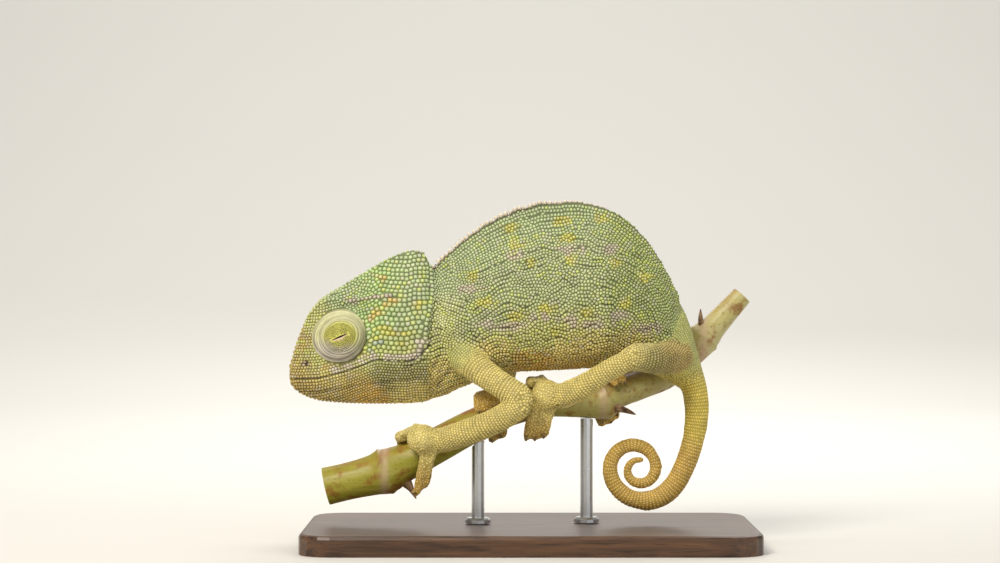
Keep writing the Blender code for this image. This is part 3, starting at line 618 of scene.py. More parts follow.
# %% Creases and ridges
MOUTH = ((-61.5, 41.3), (-56, 41.4), (-52.5, 41.6), (-46.2, 43.2), (-43.7, 44.1), (-40.8, 45.2), (-39, 46),
         (-37.4, 46.3), (-34.1, 46), (-30.2, 45.9), (-28.9, 46.3))
CHEEK_FOLD = ((-28.9, 46.3), (-27.4, 47.2), (-26.2, 48.3), (-25, 49.8))
LOWER_CHEEK_FOLD = ((-30.4, 44.6), (-27.6, 45.2), (-25.4, 46.8))
THROAT_GROOVE = ((-58, 38.75), (-56.75, 38.1), (-52, 37.9), (-48.5, 38.6), (-42.75, 39.75), (-38, 40.25),
                 (-34.1, 40.9), (-30.75, 41), (-27, 41.8))
LATERAL_CREST = ((-46.5, 60.1), (-44.5, 60.75), (-40, 61.5), (-35.5, 62), (-33, 62.4))
CANTHUS = ((-59.4, 46.5), (-57.9, 51.5), (-55.4, 56.4), (-52.4, 59.9), (-48.6, 61.2), (-46.5, 60.6))
CASQUE_MARGIN = ((-25.9, 71.6), (-25.1, 69.8), (-24.6, 66.5), (-24.3, 63.1), (-24.9, 58.7), (-25.7, 54.5),
                 (-26, 50.4))
BEHIND_CASQUE = tuple((x + 1.3, z - 0.4) for x, z in CASQUE_MARGIN)
NECK_FOLDS = (
    ((-22.6, 55.5), (-21.6, 52), (-21.9, 48.5), (-23.2, 45.2), (-25.6, 42.4)),
    ((-20.4, 53), (-19.6, 50.2), (-20.4, 46.6), (-22.2, 43.4)),
    ((-17, 55.6), (-14.6, 53.4), (-12.4, 50.2), (-11.2, 47)),
    ((-19.8, 44.2), (-21, 41.8), (-23, 39.6), (-26, 38.2)),
)
HIP_FOLDS = (
    ((26.5, 53.4), (30.5, 53.8), (34.6, 52.4), (37.8, 49.2)),
    ((30.4, 42.4), (32.8, 43.4), (34.6, 42.2)),
)
CREASES = (  # groups that it marks, curve, half width, depth (less than 0 is a ridge), darkness of its painted shade
    ((0,), MOUTH, 0.24, 0.30, 0.6),
    ((0, 1), CHEEK_FOLD, 0.45, 0.45, 0.9),
    ((0, 1), LOWER_CHEEK_FOLD, 0.40, 0.35, 0.5),
    ((0, 1), THROAT_GROOVE, 0.50, 0.30, 0.40),
    ((0,), LATERAL_CREST, 0.75, -0.50, 0.0),
    ((0,), CANTHUS, 0.80, -0.40, 0.0),
    ((0, 1), CASQUE_MARGIN, 0.70, -0.30, 0.0),
    ((0, 1), BEHIND_CASQUE, 0.75, 0.40, 0.20),
) + tuple(((1,), line, 0.70, 0.45, 0.25) for line in NECK_FOLDS) + tuple(
    ((1, 2, 4), line, 0.60, 0.40, 0.4) for line in HIP_FOLDS)
NOSTRIL = (-55.75, 45.0)
NOSTRIL_RADIUS = 0.82
NOSTRIL_DEPTH = 0.75
EYE_CENTRE = (-46.85, 52.0)
EYE_ROOT_Y = 2.6  # the turret's root from the middle plane, as in the solids
EYE_STUMP_RADIUS = 6.3
EYE_STUMP_Y = 6.2


def line_distance(points, line):
    """Distance of each point from a curve, both seen from the side."""
    flat = points[:, [0, 2]]
    best = np.full(len(points), 1e9)
    for a, b in zip(line, line[1:]):
        a, b = np.array(a), np.array(b)
        run = b - a
        at = np.clip(((flat - a) @ run) / (run @ run), 0.0, 1.0)
        best = np.minimum(best, np.linalg.norm(flat - (a + at[:, None] * run), axis=1))
    return best


sideways = ramp(np.abs(skin_normals[:, 1]), 0.15, 0.5)
crease_shade = np.zeros(len(skin_points))
# the darkness of a crease is painted shade, laid into the skin's paint and lift further down
for groups, line, half_width, sink, darkness in CREASES:
    near = np.exp(-(line_distance(skin_points, line) / half_width) ** 2)
    near *= sideways * skin_masks[:, list(groups)].sum(axis=1)
    skin_points -= skin_normals * (near * sink)[:, None]
    crease_shade = np.maximum(crease_shade, near * darkness)
nostril = np.exp(-(line_distance(skin_points, (NOSTRIL, (NOSTRIL[0] + 0.3, NOSTRIL[1] + 0.1)))
                   / NOSTRIL_RADIUS) ** 4) * sideways * skin_masks[:, 0]
skin_points -= skin_normals * (nostril * NOSTRIL_DEPTH)[:, None]
# the nostril's hollow takes full painted shade
crease_shade = np.maximum(crease_shade, nostril)
from_eye = np.hypot(skin_points[:, 0] - EYE_CENTRE[0], skin_points[:, 2] - EYE_CENTRE[1])
inside_eye = (from_eye < EYE_STUMP_RADIUS) & (skin_masks[:, 0] > 0.5)
skin_points[inside_eye, 1] = np.clip(skin_points[inside_eye, 1], -EYE_STUMP_Y, EYE_STUMP_Y)
skin_normals = vertex_normals()
skin_faces = [face.vertices[:] for face in skin.data.polygons]
skin_tree = BVHTree.FromPolygons([Vector(p) for p in skin_points], skin_faces)
nearest_point = kd_tree(skin_points)

# %% [markdown]
# Every scale will be coloured from one place on an unwrap of the skin's own shape. Smart UV Project cuts
# the skin where it turns sharply and lays the pieces out flat. The map is only read here and then removed.

# %% Unwrap
ISLAND_ANGLE = math.radians(66.0)

bpy.context.view_layer.objects.active = skin
skin.select_set(True)
bpy.ops.object.mode_set(mode="EDIT")
bpy.ops.mesh.select_all(action="SELECT")
bpy.ops.uv.smart_project(angle_limit=ISLAND_ANGLE, island_margin=0.001)
bpy.ops.object.mode_set(mode="OBJECT")
loop_vertex = np.zeros(len(skin.data.loops), np.int32)
skin.data.loops.foreach_get("vertex_index", loop_vertex)
skin_uv = np.zeros((len(skin_points), 3))
skin_uv[loop_vertex, :2] = read_array(skin.data.uv_layers.active.data, "uv", 2)
skin.data.uv_layers.remove(skin.data.uv_layers.active)

# %% [markdown]
# ## Colours
# The skin is grey-green on the flanks, yellow on the limbs and tail, and golden under the belly, with small
# yellow and pinkish patches in loose rows. Eleven named tones are laid on broad areas, and every point mixes
# the areas of its part of the body that are near. Six more tones mark small patches. The skin and its scales
# ask the same function, so they always agree. Both sides of the animal are alike.

# %% Colour areas
SAGE = "#A0B27A"  # grey green of casque and back
LEAF = "#9FBE6C"  # clear green of the temple
MOSS = "#A4B074"  # middle of the flank
FERN = "#8F9E50"  # deeper green towards the hip
LIME = "#B6B862"  # cheek, neck and shoulder
PALE_LIME = "#CACE8D"  # front of the neck
STRAW = "#D9C66C"  # limbs
MUSTARD = "#AE9440"  # snout and jaw
OLIVE = "#7E7A34"  # shaded throat and thigh
GOLD = "#D0A840"  # belly, feet and coil
SUN = "#DFC648"  # tail below the hip
YELLOW = "#C3BC35"
PINK = "#B7A794"
BLUE = "#93A6A0"
ORANGE = "#CBA23C"
NOSTRIL_RIM = "#A4745C"
LIP = "#CFC2B2"
AREAS = (  # group, tone, reach, (x, z) of its middles seen from the side
    (0, SAGE, 5, ((-30, 70.5), (-30, 63), (-30, 55), (-45.5, 63.5))),
    (0, LEAF, 4.8, ((-38, 67), (-37, 59), (-37.5, 52.5))),
    (0, LIME, 3.3, ((-37, 48.6), (-30, 49.5), (-53.5, 57), (-54.5, 46), (-50, 45), (-43, 46))),
    (0, MUSTARD, 3, ((-57.5, 50.5), (-58.8, 44.8), (-57.5, 42), (-52, 39.8), (-44, 41.6), (-50, 36.6))),
    (0, OLIVE, 3, ((-36, 43), (-30, 42.8))),
    (0, GOLD, 3, ((-40, 36.8),)),
    (0, STRAW, 3, ((-50, 42.5), (-30, 38))),
    (1, SAGE, 5, ((-22, 66), (-12, 71.5), (0, 80), (13, 82))),
    (1, MOSS, 5.2, ((-12, 64), (-12, 56), (0, 71), (0, 62), (13, 73), (13, 63))),
    (1, FERN, 5.2, ((26, 75), (26, 66), (26, 58), (35, 62), (36, 53))),
    (1, PALE_LIME, 4, ((-22, 58),)),
    (1, LIME, 4, ((-22, 50), (0, 54.5), (13, 55))),
    (1, STRAW, 4, ((-22, 43), (-20, 38), (-10, 48), (13, 49.5), (26, 51))),
    (1, GOLD, 3.2, ((0, 44), (13, 44), (24, 44.5), (35, 44))),
    (2, LIME, 5, ((39.5, 47),)),
    (2, SUN, 5.5, ((40.5, 38), (44, 30))),
    (2, GOLD, 6, ((44.5, 20), (38, 11), (28, 13), (26, 20), (32, 22))),
    (3, LIME, 4, ((-18, 49),)),
    (3, STRAW, 5, ((-12, 43.5), (-5, 38.5), (-9, 31.5), (-18, 28), (-6, 52))),
    (4, OLIVE, 4.5, ((30, 46.5),)),
    (4, MUSTARD, 5, ((36, 47),)),
    (4, STRAW, 5, ((25, 47.5), (18, 43.5), (9, 38), (31, 57))),
    (5, STRAW, 6, ((-25, 24),)),
    (5, GOLD, 5, ((-27, 15), (-7, 36))),
    (6, STRAW, 6, ((5, 35),)),
    (6, GOLD, 5, ((2, 27), (21, 39))),
)
PATCHES = (  # group, tone, (x, z) of the middles, half length, half height, strength
    (1, YELLOW, ((-4.2, 74.7), (-5.2, 79.3), (0, 70.5), (8.2, 80.5), (9, 76.5), (9.7, 70.7),
        (21, 70.5), (17.7, 81.2), (-14.2, 67), (4.7, 58.8), (14, 58), (-3.7, 57),
        (23.2, 60.2), (6, 53.2), (-10.5, 60.5), (28, 66.5)), 1.9, 1.2, 0.85),
    (1, PINK, ((-3.7, 72), (10.2, 73.5), (20.2, 73.7)), 2.6, 1.3, 0.8),
    (1, PINK, ((-14.7, 63.7), (-4.2, 54.6), (2, 56.8), (8.6, 56.2), (15.7, 55), (21.5, 57.3),
        (29.2, 54), (-11, 55)), 3.4, 1.1, 0.75),
    (0, BLUE, ((-39, 48.2), (-37.6, 50.4)), 1.3, 0.8, 0.7),
    (0, NOSTRIL_RIM, (NOSTRIL,), 1.7, 1.4, 0.85),
    (0, ORANGE, ((-39.2, 56.5), (-37.6, 58), (-35.8, 59.6), (-33.9, 61), (-41.4, 54.9), (-50.4, 44.2),
        (-36.6, 66.5)), 1.2, 0.8, 0.75),
    (0, YELLOW, ((-34.5, 52.6), (-31.5, 53), (-38.2, 51.6), (-36.5, 53.8), (-28.5, 59.5), (-27, 60.5),
        (-40.6, 47.4), (-32, 50.6)), 1.7, 0.75, 0.75),
    (0, PINK, ((-44, 60.9), (-41, 61.4), (-38, 61.8), (-35.8, 62.1)), 1.7, 0.6, 0.9),
    (0, LIP, ((-42, 45.8), (-39, 47), (-35.6, 47.1), (-32.4, 47), (-29.4, 47.3), (-27, 48.8),
        (-26, 50.8), (-45, 44.6), (-48, 43.6)), 2, 0.85, 0.85),
)
COLOUR_FALL = 1.15


def rgb(hex_colour):
    return np.array(linear(hex_colour)[:3])


def wave_noise(points, size, seed):
    """Smooth noise in about -1 to 1 from a few crossed waves of about this size."""
    draw = np.random.default_rng(seed)
    total = np.zeros(len(points))
    for _ in range(7):
        direction = draw.normal(size=3)
        direction *= 2 * math.pi / (size * draw.uniform(0.7, 1.6) * np.linalg.norm(direction))
        total += np.sin(points @ direction + draw.uniform(0, 2 * math.pi))
    return total / 2.6


def noise_at(x, y, z, size, seed):
    """The same noise at one point."""
    return float(wave_noise(np.array([[x, y, z]]), size, seed)[0])


def paint_at(points, masks):
    """The skin's colour at points whose body masks are given."""
    total = np.zeros((len(points), 3))
    weights = np.full(len(points), 1e-9)
    for group, tone, reach, places in AREAS:
        for x, z in places:
            distance = np.hypot(points[:, 0] - x, points[:, 2] - z) / reach
            weight = masks[:, group] * (np.exp(-COLOUR_FALL * distance ** 2) + 1e-5 / (0.1 + distance ** 2))
            total += weight[:, None] * rgb(tone)
            weights += weight
    colour = total / weights[:, None]
    wobble = wave_noise(points, 3.2, 5)
    for group, tone, places, half_length, half_height, strength in PATCHES:
        for number, (x, z) in enumerate(places):
            grow = 1.0 + 0.25 * math.sin(2.3 * number)
            distance = np.hypot((points[:, 0] - x) / (half_length * grow), (points[:, 2] - z) / half_height)
            amount = strength * masks[:, group] * (1 - ramp(distance + 0.35 * wobble, 0.55, 1.35))
            colour += amount[:, None] * (rgb(tone) - colour)
    return colour


skin_colour = paint_at(skin_points, skin_masks)

# %% [markdown]
# ## The scaly skin material
# Reptile skin is keratin: a satin surface with a soft gloss on every scale and dull darker skin between them.
# The material takes its colour from the paint attribute. The lift attribute is 0 in the gaps and 1 on top
# of a scale. Low lift darkens the gaps with the grey brown of the bare skin and a painted shade, and high
# lift puts a painted highlight on the top. Two noises add mottling of about 2 mm and grain of about 0.2 mm.

# %% Scaly skin material
GAP_TONE = "#54503F"  # grey brown of the bare skin in the gaps, kept dark as painted shade too
HIGHLIGHT_TONE = "#F2ECD2"  # painted highlight: pale tone on the top of each scale
HIGHLIGHT_SHARE = 0.30
GAP_SHADE = 0.34  # painted shade in the gaps: how much of the paint's light they keep
GAP_GREY = 0.40  # share of the grey brown in the gaps
MOTTLE_PER_M = 450.0  # patches about 2 mm wide
GRAIN_PER_M = 4500.0  # grain about 0.2 mm wide

scaly_skin, tree, shader = new_material("scaly_reptile_skin")
here = add(tree, "ShaderNodeTexCoord").outputs["Object"]
paint = add(tree, "ShaderNodeAttribute", attribute_name="paint")
lift = add(tree, "ShaderNodeAttribute", attribute_name="lift").outputs["Fac"]
mottle = add(tree, "ShaderNodeTexNoise", {"Scale": MOTTLE_PER_M, "Detail": 3.0, "Vector": here})
grain = add(tree, "ShaderNodeTexNoise", {"Scale": GRAIN_PER_M, "Detail": 2.0, "Vector": here})
light_dark = add(tree, "ShaderNodeMapRange", span(mottle, 0.3, 0.7, 0.86, 1.12))
tone = add(tree, "ShaderNodeVectorMath", {0: paint, "Scale": light_dark}, operation="SCALE")
# painted shade: low lift darkens the paint towards the gaps' tone
depth_fade = add(tree, "ShaderNodeMapRange", span(lift, 0.0, 0.70, 0.95, 0.0))
shade = add(tree, "ShaderNodeVectorMath", {0: tone, "Scale": GAP_SHADE}, operation="SCALE")
gap = add(tree, "ShaderNodeMix", {"Factor": GAP_GREY, "A": shade, "B": linear(GAP_TONE)}, data_type="RGBA")
share = add(tree, "ShaderNodeMath", {0: depth_fade, 1: paint.outputs["Alpha"]}, operation="MULTIPLY")
mixed = add(tree, "ShaderNodeMix", {"Factor": share, "A": tone, "B": gap}, data_type="RGBA")
# painted highlight: high lift mixes a pale tone onto the top of each scale
highlight_fade = add(tree, "ShaderNodeMapRange", span(lift, 0.70, 1.0, 0.0, HIGHLIGHT_SHARE))
highlighted = add(tree, "ShaderNodeMix", {"Factor": highlight_fade, "A": mixed, "B": linear(HIGHLIGHT_TONE)}, data_type="RGBA")
dull = add(tree, "ShaderNodeMapRange", span(lift, 0.2, 1.0, 0.72, 0.46))
bump = add(tree, "ShaderNodeBump", {"Strength": 0.25, "Distance": 0.05 * MM, "Height": grain})
feed(shader, {"Base Color": highlighted, "Roughness": dull, "Normal": bump})
shader.inputs["IOR"].default_value = 1.45


def store(mesh, name, values):
    """Add a point attribute to a mesh; its kind follows from the values."""
    values = np.asarray(values)
    kind, key = {1: ("FLOAT", "value"), 3: ("FLOAT_VECTOR", "vector"), 4: ("FLOAT_COLOR", "color")}[
        values.shape[1] if values.ndim > 1 else 1]
    whole = values.dtype.kind == "i"
    layer = mesh.attributes.new(name, "INT" if whole else kind, "POINT")
    layer.data.foreach_set(key, np.ascontiguousarray(values, np.int32 if whole else np.float32).ravel())


def with_alpha(colour, alpha=1.0):
    return np.concatenate([colour, np.full((len(colour), 1), 1.0) * np.reshape(alpha, (-1, 1))], axis=1)


def gap_share(masks):
    """How much of the bare skin and painted shade between the scales shows: less on the fine smooth scales of
    tail and limbs.
    """
    return (masks * GAP_SHARES).sum(axis=1) / np.maximum(masks.sum(axis=1), 1e-6)


# the bare skin's low lift gives it the gaps' painted shade
BARE_LIFT = 0.08
GAP_SHARES = (0.95, 1.0, 0.55, 0.72, 0.72, 0.50, 0.50)  # head, trunk, tail, arms, legs, feet
skin.data.materials.append(scaly_skin)

# %% [markdown]
# ## Where the scales sit
# A chameleon's scales are pebbles that sit side by side, in wavy rows along the flanks, in rings round the
# limbs and tail, and in fans behind the eye. So rows are laid first, by rays cast from inside a limb or from
# beside the head onto the skin. Free places are then filled at random, and the loose ones push each other
# apart. The distance between two roots runs from 0.6 mm on the feet to 1.3 mm on the temple.

# %% Spacing of the scales
EYE_CLEAR = 7.0  # no skin scales nearer than this to an eye's middle


def mouth_z(x):
    """Height of the mouth line at an x."""
    return np.interp(x, *zip(*MOUTH))


def spacing_at(points, masks):
    """How far apart scales sit, in millimetres."""
    x, y, z = points.T
    temple = ramp(x, -43.0, -38.0) * ramp(z, 46.8, 49.0)
    crown = ramp(z, 58.0, 64.0) * ramp(x, -52.0, -44.0)
    head = 0.80 + 0.52 * temple + 0.10 * crown * (1 - temple) - 0.16 * crown * temple
    head = head - 0.08 * (1 - ramp(z, mouth_z(x) - 4.0, mouth_z(x) + 0.5)) * ramp(x, -52.0, -44.0)
    body = 0.84 - 0.10 * (1 - ramp(x, -24.0, -14.0)) - 0.06 * (1 - ramp(z, 42.0, 48.0))
    body = body - 0.06 * ramp(x, 30.0, 38.0)
    sizes = (head, body, 0.62 + 0 * x, 0.67 + 0 * x, 0.67 + 0 * x, 0.58 + 0 * x, 0.58 + 0 * x)
    total = sum(masks[:, k] * sizes[k] for k in range(len(sizes)))
    return total / np.maximum(masks.sum(axis=1), 1e-6)


skin_spacing = spacing_at(skin_points, skin_masks)
print("spacing", round(float(skin_spacing.min()), 2), "to", round(float(skin_spacing.max()), 2), "mm")


PEBBLE, TOOTH = 0, 1


class Roots:
    """Scale roots on the skin, with a grid of cells that finds those nearby."""
    CELL = 1.6
    KEPT = ("place", "normal", "row", "size", "band", "fixed", "kind", "boost")

    def __init__(self):
        self.grid = {}
        for key in self.KEPT:
            setattr(self, key, [])

    def cell(self, p):
        return tuple(int(math.floor(c / self.CELL)) for c in p)

    def free(self, p, normal, room):
        middle = self.cell(p)
        for step in itertools.product((-1, 0, 1), repeat=3):
            for n in self.grid.get(tuple(map(sum, zip(middle, step))), ()):
                if (self.place[n] - p).length < room and self.normal[n].dot(normal) > 0.0:
                    return False
        return True

    def add(self, p, normal, row, size, band, fixed, room, kind=PEBBLE, boost=1.0):
        """Keep a root if nothing is within its room; row is the direction its row runs in."""
        if self.free(p, normal, room):
            self.grid.setdefault(self.cell(p), []).append(len(self.place))
            for key, value in zip(self.KEPT, (p.copy(), normal.copy(), row, size, band, fixed, kind, boost)):
                getattr(self, key).append(value)


roots = Roots()
CREASE_CLEAR = 0.45  # no scales where a crease is stronger
ROW_ROOM = 0.62  # part of the spacing that a scale in a row needs
FREE_ROOM = 0.80  # part of it that a loose one needs


def skin_at(place):
    """Number of the nearest skin point."""
    return nearest_point.find(place)[1]


def add_row(line, groups, stagger, flat_rows):
    """Lay scales along a line of points on the skin, a spacing apart; stagger shifts them by half of one."""
    carried = 0.5 if stagger else 0.0
    for (a, _), (b, _) in zip(line, line[1:]):
        step = b - a
        length = step.length
        if length < 1e-6 or length > 3.0:
            continue
        size = skin_spacing[skin_at(a)]
        along = 0.0
        while carried * size <= length - along:
            along += carried * size
            place = a + step * (along / length)
            hit, normal, _, _ = skin_tree.find_nearest(place)
            number = skin_at(hit)
            size = skin_spacing[number]
            if group_of_label[skin_label[number]] in groups and crease_shade[number] < CREASE_CLEAR:
                roots.add(hit, normal, step.normalized(), size, size * flat_rows, True, size * ROW_ROOM)
            carried = 1.0
        carried -= (length - along) / size


def smooth_curve(points, at):
    """A smooth curve through evenly numbered points; at runs from 0 to the last point's number."""
    last = len(points) - 1
    i = min(int(at), last - 1)
    t = at - i
    p1, p2 = Vector(points[i]), Vector(points[i + 1])
    p0 = Vector(points[i - 1]) if i > 0 else 2 * p1 - p2
    p3 = Vector(points[i + 2]) if i + 2 <= last else 2 * p2 - p1
    return 0.5 * (2 * p1 + (p2 - p0) * t + (2 * p0 - 5 * p1 + 4 * p2 - p3) * t * t
                  + (3 * p1 - p0 - 3 * p2 + p3) * t ** 3)


def cast(origin, direction):
    hit, normal, _, _ = skin_tree.ray_cast(origin, direction)
    return (hit, normal) if hit else None

# %% [markdown]
# Some scales stand out and are set first, so that the others keep clear of them. Beads edge the brow, the
# snout and the rear of the casque, the helmet that gives the species its profile. Small cones stand along
# the keel of the back and along the throat, and get their own pointed shape later.

# %% Beads and crests
CROWN_EDGE = ((-59.9, 44.6), (-59, 47.6), (-57.7, 51.6), (-55.6, 55.8), (-52.8, 59.6), (-48.6, 62.6),
              (-44.2, 65.3), (-39.5, 68), (-34, 71.1), (-29.2, 72.7), (-26.6, 72.2))
BACK_CREST = (-24.6, 19)
BACK_TOOTH = 1.22  # from one cone to the next
THROAT_CREST = (-57.5, -26.5)
THROAT_TOOTH = 0.95
BELLY_CREST = (-25, 31)
BELLY_TOOTH = 1.0
CREST_STEP = 0.1


def bead_line(line, size, boost, edge=False):
    """Beads along a curve seen from the side: on both sides of the animal, or on its outline."""
    fine = [smooth_curve([(x, 0.0, z) for x, z in line], n / 400 * (len(line) - 1)) for n in range(401)]
    for side in (0,) if edge else (-1, 1):
        last = None
        for here, ahead in zip(fine, fine[1:]):
            into = Vector((0, -side, 0)) if side else Vector((0, 1, 0)).cross(here - ahead).normalized()
            found = cast(here - into * (30.0 if side else 4.0), into)
            if not found or found[0].y * side < 0 or (last and (found[0] - last).length < size):
                continue
            last = found[0]
            roots.add(last, found[1], (ahead - here).normalized(), size, 0.0, True, size * 0.6, PEBBLE, boost)


def tooth_line(start, stop, step, height, above):
    """Cones along the middle plane, on the back or under the throat and belly."""
    last = None
    for n in range(int((stop - start) / CREST_STEP)):
        x = start + n * CREST_STEP
        found = cast(Vector((x, 0.0, 120.0 if above else 0.0)), Vector((0, 0, -1 if above else 1)))
        if found and (last is None or (found[0] - last).length >= step):
            last = found[0]
            up = Vector((found[1].x, 0.0, found[1].z)).normalized()
            roots.add(last, up, Vector((up.z, 0.0, -up.x)), step, 0.0, True, 0.0, TOOTH, height(x))


tooth_line(*BACK_CREST, BACK_TOOTH, lambda x: 1.25 - 0.85 * float(ramp(x, -2.0, 18.0)), True)
tooth_line(*THROAT_CREST, THROAT_TOOTH, lambda x: 0.50, False)
tooth_line(*BELLY_CREST, BELLY_TOOTH, lambda x: 0.30, False)
bead_line(CROWN_EDGE, 1.15, 1.5, edge=True)
bead_line(CASQUE_MARGIN, 1.15, 1.35)
bead_line(CANTHUS, 1.05, 1.25)
bead_line(LATERAL_CREST, 1.0, 1.3)
print("beads and teeth", len(roots.place))

# %% [markdown]
# On the trunk the scales sit on low wavy ridges that run lengthways, two rows to a ridge, with furrows
# between. From a line of middle points inside the body rays fan out to the skin, from keel to belly, and
# give sections. A row joins the points that lie equally far below the keel, measured along the skin. Slow
# noise shifts rows and furrows together and lets the furrows come and go.

# %% Rows of the trunk
TRUNK_MIDDLES = ((-27.5, 53.5), (-20, 55), (-10, 58.5), (0, 62), (10, 63.5), (19, 62.5), (27, 59),
                 (33, 53.5), (37, 47.5), (39.5, 42.5))
TRUNK_SECTIONS = 150
SECTION_RAYS = 80
KEEL_CLEAR = 0.5
RIDGES = 26
NARROW_RIDGE = 1.05  # where they would be narrower than this, every second one ends
ROWS_OF_RIDGE = (0.25, 0.75)  # where a ridge's two rows sit, over its width
RIDGE_WAVES = ((24, 11, 0.85, 0.25), (8, 12, 0.40, 0.9), (4.5, 14, 0.22, 1.3))  # length, seed, height, change
FURROW_WIDTH = 0.40
FURROW_DEPTH = 0.36


def trunk_sections(side):
    """Points on one side of the trunk's skin, from keel to belly, for each section."""
    middles = [(x, 0.0, z) for x, z in TRUNK_MIDDLES]
    sections = []
    for n in range(TRUNK_SECTIONS + 1):
        at = n / TRUNK_SECTIONS * (len(middles) - 1)
        middle = smooth_curve(middles, at)
        before, after = max(at - 0.05, 0), min(at + 0.05, len(middles) - 1)
        ahead = (smooth_curve(middles, after) - smooth_curve(middles, before)).normalized()
        up = Vector((0, side, 0)).cross(ahead) * side
        if up.z < 0:
            up = -up
        section = []
        for k in range(SECTION_RAYS + 1):
            turn = math.pi * k / SECTION_RAYS
            found = cast(middle, up * math.cos(turn) + Vector((0, side, 0)) * math.sin(turn))
            if found:
                section.append(found)
        sections.append(section)
    return sections


def along_section(section, distance):
    """The point of a section that lies this far below its start."""
    for (a, normal_a), (b, normal_b) in zip(section, section[1:]):
        step = (b - a).length
        if step > 2.5:
            return None
        if distance <= step:
            return a.lerp(b, distance / max(step, 1e-9)), normal_a.lerp(normal_b, distance / max(step, 1e-9))
        distance -= step
    return None


def ridge_wave(x, ridge):
    """How far a ridge wanders at an x, over its width."""
    total = 0.0
    for length, seed, height, change in RIDGE_WAVES:
        total += height * noise_at(x, 0.0, change * length * ridge / 6, length, seed)
    return total * min(1.0, ridge / 5, (RIDGES - ridge) / 3)


furrows, furrow_depths = [], []
for side in (-1, 1):
    sections = [section for section in trunk_sections(side) if len(section) > 2]
    lengths = [sum((b - a).length for (a, _), (b, _) in zip(section, section[1:])) for section in sections]
    for ridge in range(RIDGES):
        lines = [[] for _ in ROWS_OF_RIDGE]
        last = None
        for section, length in zip(sections, lengths):
            x = section[0][0].x
            width = (length - KEEL_CLEAR) / RIDGES
            step = 1
            while width * step < NARROW_RIDGE:
                step *= 2
            if ridge % step:
                last = None
                continue
            width *= step
            below = KEEL_CLEAR + width * (ridge / step + ridge_wave(x, ridge))
            for line, part in zip(lines, ROWS_OF_RIDGE):
                found = along_section(section, below + part * width)
                if found:
                    line.append(found)
            found = along_section(section, below)
            if found:
                strength = 0.62 + 0.45 * noise_at(x, 5.0 * side, 3.1 * ridge, 9.0, 13)
                strength *= float(ramp(below, 4.0, 16.0))
                for n in range(3 if last else 0):
                    furrows.append(last.lerp(found[0], n / 3))
                    furrow_depths.append(min(max(strength, 0.08), 1.0))
                last = found[0]
        for number, line in enumerate(lines):
            add_row(line, (1, 2), number % 2, 0.56)
print("trunk rows", len(roots.place), "scales")

# %% Furrows
# a furrow's strength sets its depth and its painted shade
near_furrow = kd_tree(furrows)
skin_furrow = np.zeros(len(skin_points))
for number in np.flatnonzero(skin_masks[:, 1] > 0.05):
    _, index, distance = near_furrow.find(skin_points[number])
    skin_furrow[number] = math.exp(-(distance / FURROW_WIDTH) ** 2) * furrow_depths[index]
skin_furrow *= ramp(skin_masks[:, 1], 0.1, 0.7)
skin_points -= skin_normals * (FURROW_DEPTH * skin_furrow)[:, None]
skin_normals = vertex_normals()

# %% [markdown]
# Limbs and tail wear rings. Each takes a middle line, the same one that its solid was built round, and rays
# cast outward from it find the skin. On the curled tail the line turns ever tighter towards the tip.

# %% Rings of the tail and limbs
LIMB_ROUTES = {
    "upper_arm_left": ((-18.6, -4, 49.2), (-12.6, -9.4, 43.9), (-7.2, -12.4, 40.2), (-2.4, -13.8, 37.4)),
    "forearm_left": ((-2.3, -13.8, 35.4), (-8.5, -11.2, 31.4), (-16, -8, 28.2), (-22.6, -5, 26)),
    "upper_arm_right": ((-18.6, 4, 49.2), (-14.4, 10.2, 50.6), (-9.6, 15.8, 51.8), (-5, 19.6, 52.2)),
    "forearm_right": ((-4.6, 19.8, 50.4), (-5.8, 16.2, 45), (-7.2, 12.6, 40), (-8.6, 9.6, 36.8)),
    "thigh_left": ((37, -2.6, 47.2), (32.4, -10, 46.6), (28.6, -14, 46.8), (25, -16.2, 47.4)),
    "shin_left": ((24.6, -16, 46.8), (18.5, -13.2, 43.5), (12.6, -10.2, 39.6), (7, -6.8, 37)),
    "thigh_right": ((36, 2.6, 48.5), (34.6, 9.5, 52.6), (33, 15, 56.2), (30.8, 18.8, 58.6)),
    "shin_right": ((30.6, 18.8, 57.6), (28.2, 17.6, 52.2), (25.6, 15.6, 46.8), (22.8, 12.6, 42.2)),
}
RING_RAYS = 28


def lay_rings(route, groups, reach):
    """Rings of scales round a middle line of closely spaced points."""
    travelled, ring_number, next_ring = 0.0, 0, 0.3
    for a, b in zip(route, route[1:]):
        travelled += (b - a).length
        if travelled < next_ring:
            continue
        ahead = (b - a).normalized()
        across = ahead.cross(Vector((0, 1, 0)) if abs(ahead.y) < 0.9 else Vector((1, 0, 0))).normalized()
        other = ahead.cross(across)
        ring = []
        for k in range(RING_RAYS + 1):
            turn = 2 * math.pi * k / RING_RAYS
            found = cast(a, across * math.cos(turn) + other * math.sin(turn))
            if found and (found[0] - a).length < reach:
                ring.append(found)
        if len(ring) > 3:
            add_row(ring, groups, ring_number % 2, 0.5)
        next_ring = travelled + skin_spacing[skin_at(a)] * 0.92
        ring_number += 1


def dense(points, step=0.25):
    """A smooth route through a few points, with a point every step."""
    count = 200
    fine = [smooth_curve(points, n / count * (len(points) - 1)) for n in range(count + 1)]
    length = sum((b - a).length for a, b in zip(fine, fine[1:]))
    return [smooth_curve(points, min(n * step / length, 1.0) * (len(points) - 1))
            for n in range(int(length / step) + 1)]


lay_rings([Vector(p) for p in tail_line[::2]], (2,), 5.5)
for route in LIMB_ROUTES.values():
    lay_rings(dense(route), (3, 4), 6.5)
print("with rings", len(roots.place), "scales")

